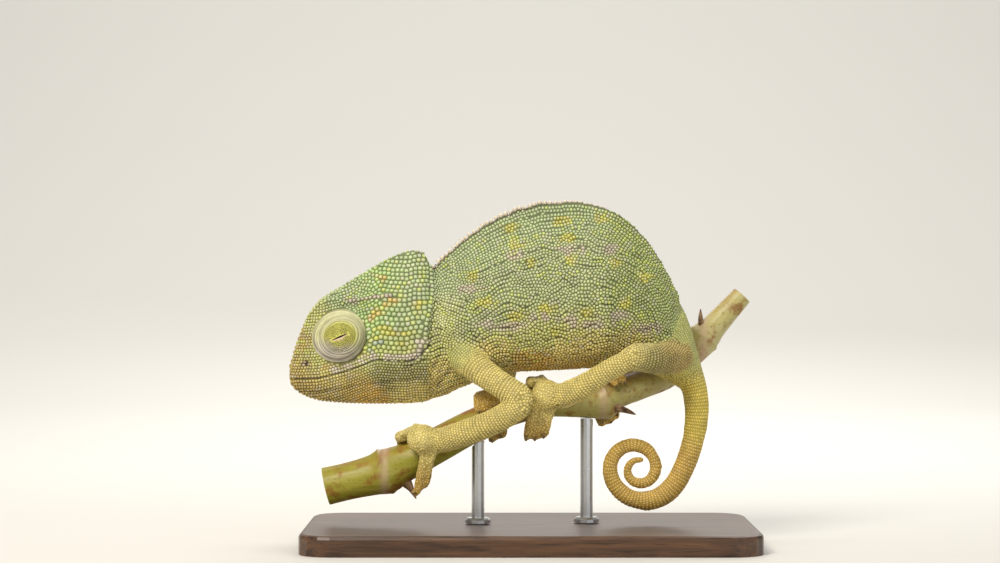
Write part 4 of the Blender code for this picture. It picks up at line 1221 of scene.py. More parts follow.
# %% [markdown]
# On the head the rows start at the mouth line and climb to the crown, and others descend to the throat. A
# row keeps one local spacing from the last, so rows that lie close on the snout fan out over the temple.

# %% Rows of the head
HEAD_RANGE = (-60.6, -23.4)
HEAD_STEP = 0.4
CROWN_Z, THROAT_Z = 73.5, 35.2


def near_eye(x, z):
    return math.hypot(x - EYE_CENTRE[0], z - EYE_CENTRE[1]) < EYE_CLEAR


def head_hit(x, z, side):
    found = cast(Vector((x, side * 30.0, z)), Vector((0, -side, 0)))
    if not found or abs(found[1].y) < 0.30 or found[0].y * side < 0:
        return None
    number = skin_at(found[0])
    if group_of_label[skin_label[number]] != 0 or near_eye(x, z):
        return None
    return found


for side in (-1, 1):
    for direction in (1, -1):
        xs = np.arange(HEAD_RANGE[0], HEAD_RANGE[1], HEAD_STEP)
        zs = mouth_z(xs) + direction * 0.62
        for row in range(60):
            run = []
            for found in [head_hit(x, z, side) for x, z in zip(xs, zs)] + [None]:
                if found:
                    run.append(found)
                else:
                    add_row(run, (0,), row % 2, 0.5)
                    run = []
            probe = np.stack([xs, np.full(len(xs), side * 8.0), zs], axis=1)
            masks = np.zeros((len(xs), len(GROUPS)))
            masks[:, 0] = 1.0
            step = spacing_at(probe, masks) * 0.9
            zs = zs + direction * np.convolve(np.pad(step, 4, mode="edge"), np.ones(9) / 9, mode="valid")
            if zs.min() > CROWN_Z or zs.max() < THROAT_Z:
                break
print("with the head", len(roots.place), "scales")

# %% Loose scales between the rows
CANDIDATES = 90000
PUSH_ROUNDS = 6
PUSH = 0.30
ROW_SHARE = 0.35  # how much of a push across its row a scale in a row gives way to
JITTER = 0.10

draw = np.random.default_rng(2024)
areas = read_array(skin.data.polygons, "area", 1)
for index in draw.choice(len(skin_faces), size=CANDIDATES, p=areas / areas.sum()):
    corners = skin_faces[index]
    u, v = draw.random(2)
    a, b, c, d = (Vector(skin_points[corners[k % len(corners)]]) for k in range(4))
    place = a.lerp(b, u).lerp(d.lerp(c, u), v)
    number = corners[0]
    if crease_shade[number] > CREASE_CLEAR:
        continue
    if skin_label[number] < len(HEAD) and near_eye(place.x, place.z) and abs(place.y) > 2.0:
        continue
    size = skin_spacing[number]
    normal = Vector(skin_normals[number])
    roots.add(place, normal, Vector((1, 0, 0)), size, 0.0, False, size * FREE_ROOM)
for push_round in range(PUSH_ROUNDS):
    tree = kd_tree(roots.place)
    for number, place in enumerate(roots.place):
        if roots.kind[number] == TOOTH or roots.boost[number] > 1.0:
            continue
        shift = Vector(draw.normal(0.0, JITTER * roots.size[number], 3)) if push_round == 0 else Vector()
        for other, index, distance in tree.find_n(place, 8):
            want = (roots.size[number] + roots.size[index]) / 2 * 1.05
            if index != number and 1e-6 < distance < want:
                shift += (place - other) * ((want - distance) / distance * PUSH)
        if roots.fixed[number]:
            row = roots.row[number]
            shift = shift * ROW_SHARE + row * (shift.dot(row) * (1 - ROW_SHARE))
        hit, normal, _, _ = skin_tree.find_nearest(place + shift)
        if normal.dot(roots.normal[number]) > 0.3:
            roots.place[number], roots.normal[number] = hit, normal
print("with loose ones", len(roots.place), "scales")

# %% [markdown]
# ## The shape of one scale
# Real scales fill the skin like cobbles, with outlines set by their neighbours. So every root measures how
# far it may reach in ten directions: half way to its neighbours, or less where one is bigger. In rows the
# reach up and down is cut short, which leaves a straight groove between two rows.

# %% Reach of each scale
SPOKES = 10
NEIGHBOURS = 14
FAR = 9.0  # no limit
LEAST_REACH = 0.12
JOINT = 0.03  # clear space between two scales
WIDEST = 0.72  # most that a scale reaches, over its spacing
ROW_FILL = 0.98  # part of a row's half width that its scales fill

def square_to(normal, direction):
    """Directions turned square to the normals, and a third one square to both."""
    direction = direction - normal * (direction * normal).sum(axis=1)[:, None]
    short = np.linalg.norm(direction, axis=1) < 0.2
    direction[short] = np.cross(normal[short], [0.0, 1.0, 0.3])
    direction /= np.linalg.norm(direction, axis=1)[:, None]
    return direction, np.cross(normal, direction)


def measure_reach(place, normal, row, size, band):
    """How far each scale may reach along each spoke."""
    row, side = square_to(normal, row)
    tree = kd_tree(place)
    near = np.array([[index for _, index, _ in tree.find_n(p, NEIGHBOURS + 1)] for p in place])
    reach = np.repeat(size[:, None] * WIDEST, SPOKES, axis=1)
    turns = 2 * np.pi * np.arange(SPOKES) / SPOKES
    for k in range(NEIGHBOURS + 1):
        other = near[:, k]
        gap = place[other] - place
        usable = (normal[other] * normal).sum(axis=1) > 0.1
        gap -= normal * (gap * normal).sum(axis=1)[:, None]
        east, north = (gap * row).sum(axis=1), (gap * side).sum(axis=1)
        square = east ** 2 + north ** 2
        usable &= (other != np.arange(len(other))) & (square > 0.04)
        part = size / (size + size[other])
        for spoke, turn in enumerate(turns):
            facing = east * math.cos(turn) + north * math.sin(turn)
            limit = part * square / np.maximum(facing, 1e-3) - JOINT / 2
            reach[:, spoke] = np.minimum(reach[:, spoke], np.where(usable & (facing > 1e-3), limit, FAR))
    for spoke, turn in enumerate(turns):
        limit = np.where(band > 0, band * ROW_FILL / max(abs(math.sin(turn)), 1e-3), FAR)
        reach[:, spoke] = np.minimum(reach[:, spoke], limit)
    return row, np.maximum(reach, LEAST_REACH)


root_place = np.array([p[:] for p in roots.place])
root_number = np.array([skin_at(p) for p in roots.place])
root_masks = skin_masks[root_number]
root_size = np.array(roots.size)
root_kind = np.array(roots.kind)
root_normal = skin_normals[root_number].copy()
root_normal[root_kind == TOOTH] = np.array([n[:] for n in roots.normal])[root_kind == TOOTH]
root_row, root_reach = measure_reach(root_place, root_normal, np.array([r[:] for r in roots.row]), root_size,
                                     np.array(roots.band))
root_reach[root_kind == TOOTH] = 0.56 * root_size[root_kind == TOOTH][:, None]

# %% Colour and height of each scale
TONE_SPREAD = 0.10
MARK_CHANCE = 0.26
LIME_SCALE, LILAC_SCALE = "#BDC84A", "#B9B3A0"  # single scales that stand out
BACK_TOOTH_TONE, BELLY_TOOTH_TONE = "#DCC9B4", "#D9C48C"

draw = np.random.default_rng(7)
# painted shade: the paint is darkened in the creases, folds, nostril and furrows, and their lift is lowered so
# the gaps' painted shade grows there too
skin_painted_shade = (1 - 0.6 * crease_shade) * (1 - 0.35 * skin_furrow)
store(skin.data, "paint", with_alpha(skin_colour * skin_painted_shade[:, None], gap_share(skin_masks)))
store(skin.data, "lift", BARE_LIFT * (1 - crease_shade) * (1 - 0.6 * skin_furrow))
root_colour = paint_at(root_place, root_masks)
root_colour *= (1 + TONE_SPREAD * draw.normal(size=len(root_place)).clip(-2, 2))[:, None]
count = len(root_place)
lime = (draw.random(count) < MARK_CHANCE) * (wave_noise(root_place, 9.0, 21) > -0.2)
lime = lime * draw.uniform(0.3, 0.85, count)
lilac = (draw.random(count) < MARK_CHANCE) * draw.uniform(0.15, 0.5, count)
trunk_or_head = root_masks[:, 0] + root_masks[:, 1]
lime *= 1 - 0.75 * root_masks[:, 0] * (1 - ramp(root_place[:, 2], 43.0, 50.0))
root_colour += (lime * trunk_or_head)[:, None] * (rgb(LIME_SCALE) - root_colour)
root_colour += (lilac * (0.35 + 0.65 * trunk_or_head))[:, None] * (rgb(LILAC_SCALE) - root_colour)
root_rise = 0.42 * root_size * (1 + 0.15 * draw.normal(size=len(root_place)).clip(-2, 2))
root_rise *= 1 - 0.40 * root_masks[:, 2] - 0.35 * root_masks[:, 5] - 0.35 * root_masks[:, 6]
root_rise = np.minimum(root_rise, COAT + 0.20) * np.array(roots.boost)
root_rise[root_kind == TOOTH] = np.array(roots.boost)[root_kind == TOOTH]
on_back = (root_kind == TOOTH) & (root_place[:, 2] > 60)
under = (root_kind == TOOTH) & (root_place[:, 2] < 60)
root_colour[on_back] += 0.80 * (rgb(BACK_TOOTH_TONE) - root_colour[on_back])
root_colour[under] += 0.45 * (rgb(BELLY_TOOTH_TONE) - root_colour[under])
root_paint = with_alpha(root_colour, gap_share(root_masks))

# %% [markdown]
# ## The coat, by Geometry Nodes
# One small dome stands for a scale: a closed pebble of ten sides and about sixty triangles. The tree sets a
# dome on every root, turns it to the skin, makes the copies real and moves each of their points: outwards by
# the reach stored for its side, onto the skin below, and up by the scale's rise. Plain instances could not
# be fitted to their neighbours like that.

# %% One scale
PEBBLE_RINGS = ((1.0, 0.0), (0.82, 0.60), (0.44, 0.94))  # share of the reach, share of the rise
TOOTH_RINGS = ((1.0, 0.0), (0.84, 0.36), (0.44, 0.74))
PATCH = 0.0030  # width of a scale on the OFBake map


def dome_mesh(spokes, rings):
    """A closed unit dome whose points know their spoke, and a flat patch of the bake map."""
    points = [(r * math.cos(2 * math.pi * k / spokes), r * math.sin(2 * math.pi * k / spokes), h)
              for r, h in rings for k in range(spokes)] + [(0.0, 0.0, 1.0)]
    last = (len(rings) - 1) * spokes
    faces = ([tuple(reversed(range(spokes)))] + ring_faces(len(rings), spokes)
             + [(last + k, last + (k + 1) % spokes, len(points) - 1) for k in range(spokes)])
    mesh = bpy.data.meshes.new("one_scale")
    mesh.from_pydata(points, [], faces)
    mesh.shade_smooth()
    store(mesh, "spoke", [k % spokes for k in range(len(points))])
    store(mesh, "lift", [p[2] for p in points])
    store(mesh, "patch", [(p[0] * PATCH / 2, p[1] * PATCH / 2, 0.0) for p in points])
    return mesh


one_scale = new_piece("one_scale", dome_mesh(SPOKES, PEBBLE_RINGS), scaly_skin)
one_tooth = new_piece("one_tooth", dome_mesh(SPOKES, TOOTH_RINGS), scaly_skin)

# %% The tree
def coat_tree():
    tree = bpy.data.node_groups.new("scale_coat", "GeometryNodeTree")
    for name, kind in (("Roots", "Geometry"), ("Scale", "Object"), ("Skin", "Object"), ("Bury", "Float"),
                       ("Finish", "Material")):
        tree.interface.new_socket(name=name, in_out="INPUT", socket_type="NodeSocket" + kind)
    tree.interface.new_socket(name="Coat", in_out="OUTPUT", socket_type="NodeSocketGeometry")
    given = add(tree, "NodeGroupInput").outputs
    stored = {name: add(tree, "GeometryNodeInputNamedAttribute", {"Name": name}, data_type=kind)
              for name, kind in [(name, "FLOAT_VECTOR") for name in ("up", "row", "root", "unwrap", "patch")]
              + [(name, "FLOAT") for name in ("lift", "rise")] + [("spoke", "INT")]
              + [("reach_%d" % spoke, "FLOAT") for spoke in range(SPOKES)]}
    turn = add(tree, "FunctionNodeAxesToRotation", {0: stored["up"], 1: stored["row"]}, primary_axis="Z",
               secondary_axis="X")
    dome = add(tree, "GeometryNodeObjectInfo", {"Object": given["Scale"]}).outputs["Geometry"]
    placed = add(tree, "GeometryNodeInstanceOnPoints",
                 {"Points": given["Roots"], "Instance": dome, "Rotation": turn, "Scale": (MM, MM, MM)})
    real = add(tree, "GeometryNodeRealizeInstances", {"Geometry": placed})
    pick = add(tree, "GeometryNodeIndexSwitch", data_type="FLOAT")
    for _ in range(SPOKES - 2):
        pick.index_switch_items.new()
    feed(pick, {"Index": stored["spoke"]})
    feed(pick, {spoke + 1: stored["reach_%d" % spoke] for spoke in range(SPOKES)})
    at = dict(stored, reach=pick, here=add(tree, "GeometryNodeInputPosition"))

    for name, operation, a, key, b in (
            ("out", "SUBTRACT", "here", 1, "root"), ("above", "DOT_PRODUCT", "out", 1, "up"),
            ("straight", "SCALE", "up", "Scale", "above"), ("flat", "SUBTRACT", "out", 1, "straight"),
            ("wide", "SCALE", "flat", "Scale", "reach"), ("aim", "ADD", "root", 1, "wide")):
        at[name] = add(tree, "ShaderNodeVectorMath", {0: at[a], key: at[b]}, operation=operation)
    skin_shape = add(tree, "GeometryNodeObjectInfo", {"Object": given["Skin"]}).outputs["Geometry"]
    at["foot"] = add(tree, "GeometryNodeProximity", {0: skin_shape, "Sample Position": at["aim"]},
                     target_element="FACES")
    at["outward"] = add(tree, "GeometryNodeSampleNearestSurface", {
        "Mesh": skin_shape, "Value": add(tree, "GeometryNodeInputNormal"), "Sample Position": at["aim"]},
        data_type="FLOAT_VECTOR")
    at["height"] = add(tree, "ShaderNodeMath", {0: at["lift"], 1: at["rise"], 2: given["Bury"]},
                       operation="MULTIPLY_ADD")
    for name, operation, a, key, b in (
            ("raised", "SCALE", "outward", "Scale", "height"), ("final", "ADD", "foot", 1, "raised"),
            ("spot", "ADD", "unwrap", 1, "patch")):
        at[name] = add(tree, "ShaderNodeVectorMath", {0: at[a], key: at[b]}, operation=operation)
    moved = add(tree, "GeometryNodeSetPosition", {"Geometry": real, "Position": at["final"]})
    mapped = add(tree, "GeometryNodeStoreNamedAttribute", {
        "Name": "OFBake", "Geometry": moved, "Value": at["spot"]}, data_type="FLOAT2", domain="CORNER")
    dressed = add(tree, "GeometryNodeSetMaterial", {"Geometry": mapped, "Material": given["Finish"]})
    add(tree, "NodeGroupOutput", {"Coat": dressed})
    return tree


def set_inputs(modifier, **values):
    """Give a Geometry Nodes modifier its inputs by their sockets' identifiers."""
    for item in modifier.node_group.interface.items_tree:
        if item.item_type == "SOCKET" and item.in_out == "INPUT" and item.name in values:
            modifier[item.identifier] = values[item.name]


scale_coat = coat_tree()
KEPT_LAYERS = ("paint", "lift", "OFBake", "position", "sharp_face")


def make_coat(name, under, scale, place, normal, row, unwrap, rise, colour, reach):
    """Make one piece of the coat over a surface from its roots, all in millimetres."""
    mesh = new_mesh(name, place)
    for key, values in (("root", place * MM), ("up", normal), ("row", row), ("unwrap", unwrap),
                        ("rise", rise * MM), ("paint", colour)):
        store(mesh, key, values)
    for spoke in range(SPOKES):
        store(mesh, "reach_%d" % spoke, reach[:, spoke])
    piece = new_piece(name, mesh, scaly_skin)
    grow = piece.modifiers.new("scales", "NODES")
    grow.node_group = scale_coat
    set_inputs(grow, Scale=scale, Skin=under, Bury=-0.10 * MM, Finish=scaly_skin)
    settle(piece)
    for layer in [a.name for a in piece.data.attributes]:
        if layer not in KEPT_LAYERS and not layer.startswith("."):
            piece.data.attributes.remove(piece.data.attributes[layer])
    print(name, len(place), "scales")
    coats.append(piece)
    return piece


SHOULDER_END = 8.0  # where the trunk's coat is parted, to keep each piece small
root_group = group_of_label[skin_label[root_number]]
coats = []
left = root_place[:, 1] < 0
shoulder = root_place[:, 0] < SHOULDER_END
on_trunk = root_group == 1
chosen_of = {name + side: chosen & half
             for name, chosen in (("scales_head", root_group == 0), ("scales_shoulder", on_trunk & shoulder),
                                  ("scales_flank", on_trunk & ~shoulder))
             for side, half in (("_left", left), ("_right", ~left))}
for number, name in enumerate(("tail", "arms", "legs", "front_feet", "hind_feet")):
    chosen_of["scales_" + name] = root_group == number + 2
chosen_of = {name: chosen & (root_kind == PEBBLE) for name, chosen in chosen_of.items()}
chosen_of.update(crest_back=on_back, crest_throat_and_belly=under)
for name, chosen in chosen_of.items():
    make_coat(name, skin, one_tooth if name.startswith("crest") else one_scale, root_place[chosen],
              root_normal[chosen], root_row[chosen], skin_uv[root_number[chosen]], root_rise[chosen],
              root_paint[chosen], root_reach[chosen])

# %% [markdown]
# ## The eyes
# A chameleon's eye is a cone of skin, the turret, with fused lids that leave only a slit over the pupil. The
# turret turns with the eyeball, so its skin lies in rings of fine wrinkles. It is modelled as a turned
# form whose innermost ring is the almond of the slit and whose outer rings are round. Wrinkles are cut as
# narrow rings that wander a little and are deeper below. The same scale tree sets small granules on the lids.

# %% Turret form
TURRET_PROFILE = (  # radius and height, from the root to the slit
    (7.45, 2.4), (7.15, 3.9), (6.6, 5.3), (5.6, 6.55), (4.3, 7.65), (2.9, 8.4), (1.4, 8.8), (0.0, 8.9))
TURRET_SIDES = 132
TURRET_RINGS = 74
SLIT_LENGTH = 4.4
SLIT_HEIGHT = 0.42
SLIT_TURN = math.radians(23.0)
TURRET_FLATTEN = 0.9  # across the slit, over along it
LID_DEPTH = 0.5
RIM_RINGS = 9
WRINKLES = ((3.95, 0.18), (4.5, 0.20), (5.0, 0.16), (5.45, 0.22), (5.9, 0.16), (6.35, 0.22), (6.8, 0.22))
WRINKLE_WIDTH = 0.16


def wrinkled(radius, turn, ring):
    """How far a point lies in one of the wrinkles, which wander and fade a little."""
    middle = WRINKLES[ring][0]
    wander = middle * (1 + 0.032 * np.sin(turn + 0.4) + 0.030 * np.sin(turn + 1.0 * ring)
                       + 0.014 * np.sin(2 * turn + 1.7 * ring) + 0.006 * np.sin(5 * turn + ring))
    fade = 0.75 - 0.15 * np.sin(turn + 0.5) + 0.25 * np.sin(turn + 2.1 * ring)
    return fade * np.exp(-((radius - wander) / WRINKLE_WIDTH) ** 2)


def turret_point(side, radius, turn, drop=0.0):
    """A point of the turret's surface at a radius and a turn from the slit's line."""
    blend = float(ramp(radius, 0.3, 3.6))
    almond = SLIT_LENGTH / 2 * math.cos(turn), SLIT_HEIGHT / 2 * math.sin(turn) * abs(math.sin(turn)) ** 0.4
    along = almond[0] * (1 - blend) + radius * math.cos(turn) * blend
    across = almond[1] * (1 - blend) + radius * TURRET_FLATTEN * math.sin(turn) * blend
    if blend < 1:
        across += radius * 0.5 * math.sin(turn) * (1 - blend)
    true_radius = math.hypot(along, across / TURRET_FLATTEN)
    height = float(np.interp(true_radius, *zip(*reversed(TURRET_PROFILE))))
    height -= sum(sink * float(wrinkled(true_radius, turn, ring)) for ring, (_, sink) in enumerate(WRINKLES))
    x = EYE_CENTRE[0] + along * math.cos(SLIT_TURN) - across * math.sin(SLIT_TURN)
    z = EYE_CENTRE[1] + along * math.sin(SLIT_TURN) + across * math.cos(SLIT_TURN)
    return Vector((x, side * (EYE_ROOT_Y + height - drop), z)), true_radius


def turret_paint(radius, turn):
    """Yellow-green lids, grey-green rings and a pale pink rim under the slit."""
    radius, turn = np.asarray(radius, float), np.asarray(turn, float)
    lid, ring, grey = rgb("#D3D066"), rgb("#D0CE9C"), rgb("#DAD1C6")
    colour = lid + ramp(radius, 3.6, 4.8)[:, None] * (ring - lid)
    low = ramp(-np.sin(turn + 0.6), 0.0, 0.9) * ramp(radius, 1.8, 3.6)
    colour += (0.75 * low)[:, None] * (grey - colour)
    pink = ramp(-np.sin(turn), 0.1, 0.5) * (1 - ramp(radius, 0.7, 1.5))
    return colour + (0.9 * pink)[:, None] * (rgb("#DDBFA8") - colour)


def make_turret(side, label):
    radii = [TURRET_PROFILE[0][0] * (k / TURRET_RINGS) ** 0.9 for k in range(TURRET_RINGS + 1)]
    turns = [2 * math.pi * k / TURRET_SIDES for k in range(TURRET_SIDES)]
    inner = [turret_point(side, 0.0, turn, LID_DEPTH) for turn in turns]
    rows = [inner] + [[turret_point(side, radius, turn) for turn in turns] for radius in radii]
    faces = ring_faces(len(rows), TURRET_SIDES)
    mesh = new_mesh("eye_turret_skin_" + label, [p for row in rows for p, _ in row],
                    faces if side < 0 else [face[::-1] for face in faces])
    mesh.shade_smooth()
    all_radii = np.array([r for row in rows for _, r in row])
    all_turns = np.array(turns * len(rows))
    ring_of = np.repeat(np.arange(len(rows)), TURRET_SIDES)
    rim = np.where(ring_of <= 1, 0.3, ring_of / RIM_RINGS * 1.5)  # the slit's rim is painted by ring
    colour = turret_paint(np.where(ring_of < RIM_RINGS, rim, all_radii), all_turns)
    # painted shade: the innermost ring, the slit's sunk rim, is darkened in colour and lift
    slit_shade = np.where(ring_of == 0, 0.25, 1.0)
    # painted shade in the wrinkles: their grooves lower the lift, so the gaps' tone darkens them
    groove = np.max([wrinkled(all_radii, all_turns, ring) for ring in range(len(WRINKLES))], axis=0)
    store(mesh, "paint", with_alpha(colour * slit_shade[:, None]))
    store(mesh, "lift", (0.72 - 0.66 * np.clip(groove, 0.0, 1.0)) * slit_shade)
    return new_piece("eye_turret_skin_" + label, mesh, scaly_skin)

# %% Turret granules
GRANULE = 0.46
LAST_GRANULE = 3.7
LID_LIFT = 0.42  # the painted shade in the gaps between these fine granules stays light


def granule_rings(side):
    """Roots of the granules, in rings over the lids."""
    kept = []
    for number, radius in enumerate(np.arange(1.15, LAST_GRANULE, GRANULE * 0.88)):
        count = max(8, round(2 * math.pi * radius * 0.95 / GRANULE))
        for k in range(count):
            turn = 2 * math.pi * (k + 0.5 * (number % 2)) / count
            if radius >= 2.6 or abs(math.sin(turn)) * radius >= 0.85:  # the slit's corners stay bare
                kept.append((*turret_point(side, radius, turn), turn))
    return kept


def make_granules(turret, side, label):
    places, radii_of, turns_of = zip(*granule_rings(side))
    radii_of, turns_of = np.array(radii_of), np.array(turns_of)
    sizes = np.full(len(places), GRANULE)
    surface = BVHTree.FromPolygons([v.co / MM for v in turret.data.vertices],
                                   [p.vertices[:] for p in turret.data.polygons])
    hits = [surface.find_nearest(p) for p in places]
    place = np.array([h[0][:] for h in hits])
    normal = np.array([h[1][:] for h in hits])
    across = place - np.array([EYE_CENTRE[0], 0.0, EYE_CENTRE[1]])
    across[:, 1] = 0.0
    row, reach = measure_reach(place, normal, np.cross(normal, across), sizes, 0.5 * sizes)
    draw = np.random.default_rng(31)
    colour = turret_paint(radii_of, turns_of) * (1 + 0.09 * draw.normal(size=len(place)).clip(-2, 2))[:, None]
    spread_out = 0.5 + 0.06 * np.stack([radii_of * np.cos(turns_of), radii_of * np.sin(turns_of)], axis=1)
    unwrap = np.concatenate([spread_out, np.zeros((len(place), 1))], axis=1)
    coat = make_coat("eye_granules_" + label, turret, one_scale, place, normal, row, unwrap, 0.26 * sizes,
                     with_alpha(colour), reach)
    lift = read_array(coat.data.attributes["lift"].data, "value", 1)
    coat.data.attributes["lift"].data.foreach_set("value", np.maximum(lift, LID_LIFT))


turrets = []
for side, label in ((-1, "left"), (1, "right")):
    turret = make_turret(side, label)
    turrets.append(turret)
    make_granules(turret, side, label)
bpy.data.objects.remove(one_scale)
bpy.data.objects.remove(one_tooth)

# %% [markdown]
# The eyeball shows only through the slit. It is wet and very dark, with a thin gold ring round the pupil.
# A wet cornea is the glossiest thing on the animal, so it gets a low roughness and the IOR of tears.

# %% Eyeballs
EYEBALL_RADIUS = 3.9
LID_BACK = 8.4  # the lids' inner side, from the turret's root
EYEBALL_Y = EYE_ROOT_Y + LID_BACK - EYEBALL_RADIUS
PUPIL_RADIUS = 0.9
IRIS_RADIUS = 1.7

wet_eye, tree, shader = new_material("wet_cornea_and_iris")
parted = add(tree, "ShaderNodeSeparateXYZ", {0: add(tree, "ShaderNodeTexCoord").outputs["Object"]}).outputs
from_x = add(tree, "ShaderNodeMath", {0: parted["X"], 1: -EYE_CENTRE[0] * MM}, operation="ADD")
from_z = add(tree, "ShaderNodeMath", {0: parted["Z"], 1: -EYE_CENTRE[1] * MM}, operation="ADD")
flat = add(tree, "ShaderNodeCombineXYZ", {"X": from_x, "Z": from_z})
away = add(tree, "ShaderNodeVectorMath", {0: flat}, operation="LENGTH")
share = add(tree, "ShaderNodeMapRange", span(away, 0.0, EYEBALL_RADIUS * MM))
iris = add(tree, "ShaderNodeValToRGB", {"Fac": share}, stops=(
    (PUPIL_RADIUS / EYEBALL_RADIUS * 0.9, "#050403"), (PUPIL_RADIUS / EYEBALL_RADIUS * 1.1, "#9A7426"),
    (IRIS_RADIUS / EYEBALL_RADIUS * 1.3, "#2A1B0E")))
feed(shader, {"Base Color": iris})
shader.inputs["Roughness"].default_value = 0.06
shader.inputs["IOR"].default_value = 1.38

eyeballs = []
for side, label in ((-1, "left"), (1, "right")):
    shape = bmesh.new()
    centre = Vector((EYE_CENTRE[0], side * EYEBALL_Y, EYE_CENTRE[1])) * MM
    bmesh.ops.create_uvsphere(shape, u_segments=40, v_segments=24, radius=EYEBALL_RADIUS * MM,
                              matrix=Matrix.Translation(centre) @ Matrix.Rotation(math.pi / 2, 4, "X"))
    mesh = bpy.data.meshes.new("eyeball_wet_" + label)
    shape.to_mesh(mesh)
    shape.free()
    mesh.shade_smooth()
    eyeballs.append(new_piece("eyeball_wet_" + label, mesh, wet_eye))

# %% [markdown]
# ## The stem
# The feet grip a cut length of a castor-oil plant's stem: a waxy, hollow green shoot with swollen joints
# where leaves grew, and dry brown scars there. It is a tube of rings along the same route as its solid. The
# joints carry a sharp ridge, the skin has faint ribs, and both ends are cut clean and show pale wood round
# a dark hollow. One tube is simpler than a curve with a bevel, as every ring can have its own outline.

# %% Stem form
STEM_JOINTS = (-36.2, 18.4, 44.4)
STEM_STEP = 0.4
STEM_SIDES = 56
STEM_INSET = 0.12  # keeps the dressed stem inside its solid's corners
PITH = 0.5  # radius of the hollow, over the stem's
PITH_DEPTH = 3.0
SWELL, SWELL_WIDTH = 0.22, 0.35  # a joint's ridge
NECK, NECK_WIDTH, NECK_PLACE = 0.14, 0.4, 0.9  # and the groove beside it
RIBS, RIB_HEIGHT = 14, 0.035
JOINT_WIDTH = 1.1  # of the pinkish band on it
SHARP_ANGLE = math.radians(50.0)  # edges that turn more stay crisp


def stem_ring(x, share=1.0, slide=0.0):
    """A ring of the stem's surface; share scales it and slide moves it along the stem."""
    centre, along, radius = stem_at(x)
    up = (Vector((0, 0, 1)) - along * along.z).normalized()
    across = along.cross(up)
    ring = []
    for k in range(STEM_SIDES):
        turn = 2 * math.pi * k / STEM_SIDES
        direction = up * math.cos(turn) + across * math.sin(turn)
        out = radius - STEM_INSET
        for joint in STEM_JOINTS:
            out += (SWELL * math.exp(-((x - joint) / SWELL_WIDTH) ** 2)
                    - NECK * math.exp(-((x - joint - NECK_PLACE) / NECK_WIDTH) ** 2))
        out += RIB_HEIGHT * math.cos(RIBS * turn + 0.05 * x)
        ring.append(centre + direction * out * share + along * slide)
    return ring


def make_stem():
    first, last = STEM_ROUTE[0][0], STEM_ROUTE[-1][0]
    count = round((last - first) / STEM_STEP)
    xs = [first + (last - first) * n / count for n in range(count + 1)]
    ends = ((PITH * 0.8, PITH_DEPTH), (PITH, PITH_DEPTH * 0.8), (PITH, 0.0), (0.74, 0.0), (0.95, 0.0))
    rings = ([stem_ring(first, *end) for end in ends] + [stem_ring(x) for x in xs]
             + [stem_ring(last, share, -slide) for share, slide in reversed(ends)])
    points = [p for ring in rings for p in ring]
    mesh = new_mesh("stem", points, ring_faces(len(rings), STEM_SIDES) + end_caps(len(rings), STEM_SIDES))
    mesh.shade_smooth()
    mesh.set_sharp_from_angle(angle=SHARP_ANGLE)
    ring_of = np.repeat(np.arange(len(rings)), STEM_SIDES)
    cut = ((ring_of < len(ends) - 1) | (ring_of > len(rings) - len(ends))).astype(float)
    hollow = ((ring_of < 2) | (ring_of >= len(rings) - 2)).astype(float)
    along_x = np.array([p.x for p in points])
    joint = np.max([np.exp(-((along_x - j) / JOINT_WIDTH) ** 2) for j in STEM_JOINTS], axis=0)
    rubbed = [max(0.0, math.cos(2 * math.pi * k / STEM_SIDES)) ** 1.5 for k in range(STEM_SIDES)]
    for name, values in (("cut", cut), ("hollow", hollow), ("joint", joint),
                         ("top", np.tile(rubbed, len(rings)))):
        store(mesh, name, values)
    face_out(mesh)
    return new_piece("stem_waxy", mesh)

# %% [markdown]
# The shoot's skin is a waxy cuticle: yellow-green and lightly glossy, browner towards the old end and on
# top where it was rubbed, with rust-coloured blotches of a few millimetres and fine streaks along it. The
# joints are paler and a little pink. Cut wood is matt straw, and the hollow is brown.

# %% Stem material
waxy_stem, tree, shader = new_material("waxy_green_plant_stem")
here = add(tree, "ShaderNodeTexCoord").outputs["Object"]
marks = {name: add(tree, "ShaderNodeAttribute", attribute_name=name).outputs["Fac"]
         for name in ("top", "joint", "cut", "hollow")}
where = add(tree, "ShaderNodeSeparateXYZ", {"Vector": here})
streaks_at = add(tree, "ShaderNodeMapping", {"Scale": (60.0, 900.0, 900.0), "Rotation": (0.0, 0.45, 0.0),
                                             "Vector": here})
streaks = add(tree, "ShaderNodeTexNoise", {"Scale": 1.0, "Detail": 4.0, "Vector": streaks_at})
blotch = add(tree, "ShaderNodeTexNoise", {"Scale": 260.0, "Detail": 6.0, "Roughness": 0.6, "Vector": here})
speck = add(tree, "ShaderNodeTexNoise", {"Scale": 1500.0, "Detail": 3.0, "Vector": here})
age = add(tree, "ShaderNodeMapRange", span(where, -0.02, 0.045))
streak_share = add(tree, "ShaderNodeMapRange", span(streaks, 0.42, 0.66, 0.0, 0.55))
rust_share = add(tree, "ShaderNodeMapRange", span(blotch, 0.53, 0.63, 0.0, 0.8))
patchy = add(tree, "ShaderNodeMapRange", span(blotch, 0.40, 0.56, 0.15, 0.8))
rubbed = add(tree, "ShaderNodeMath", {0: marks["top"], 1: patchy}, operation="MULTIPLY")
speck_share = add(tree, "ShaderNodeMapRange", span(speck, 0.62, 0.70, 0.0, 0.7))
joint_share = add(tree, "ShaderNodeMath", {0: marks["joint"], 1: 0.6}, operation="MULTIPLY")
colour = linear("#94902A")
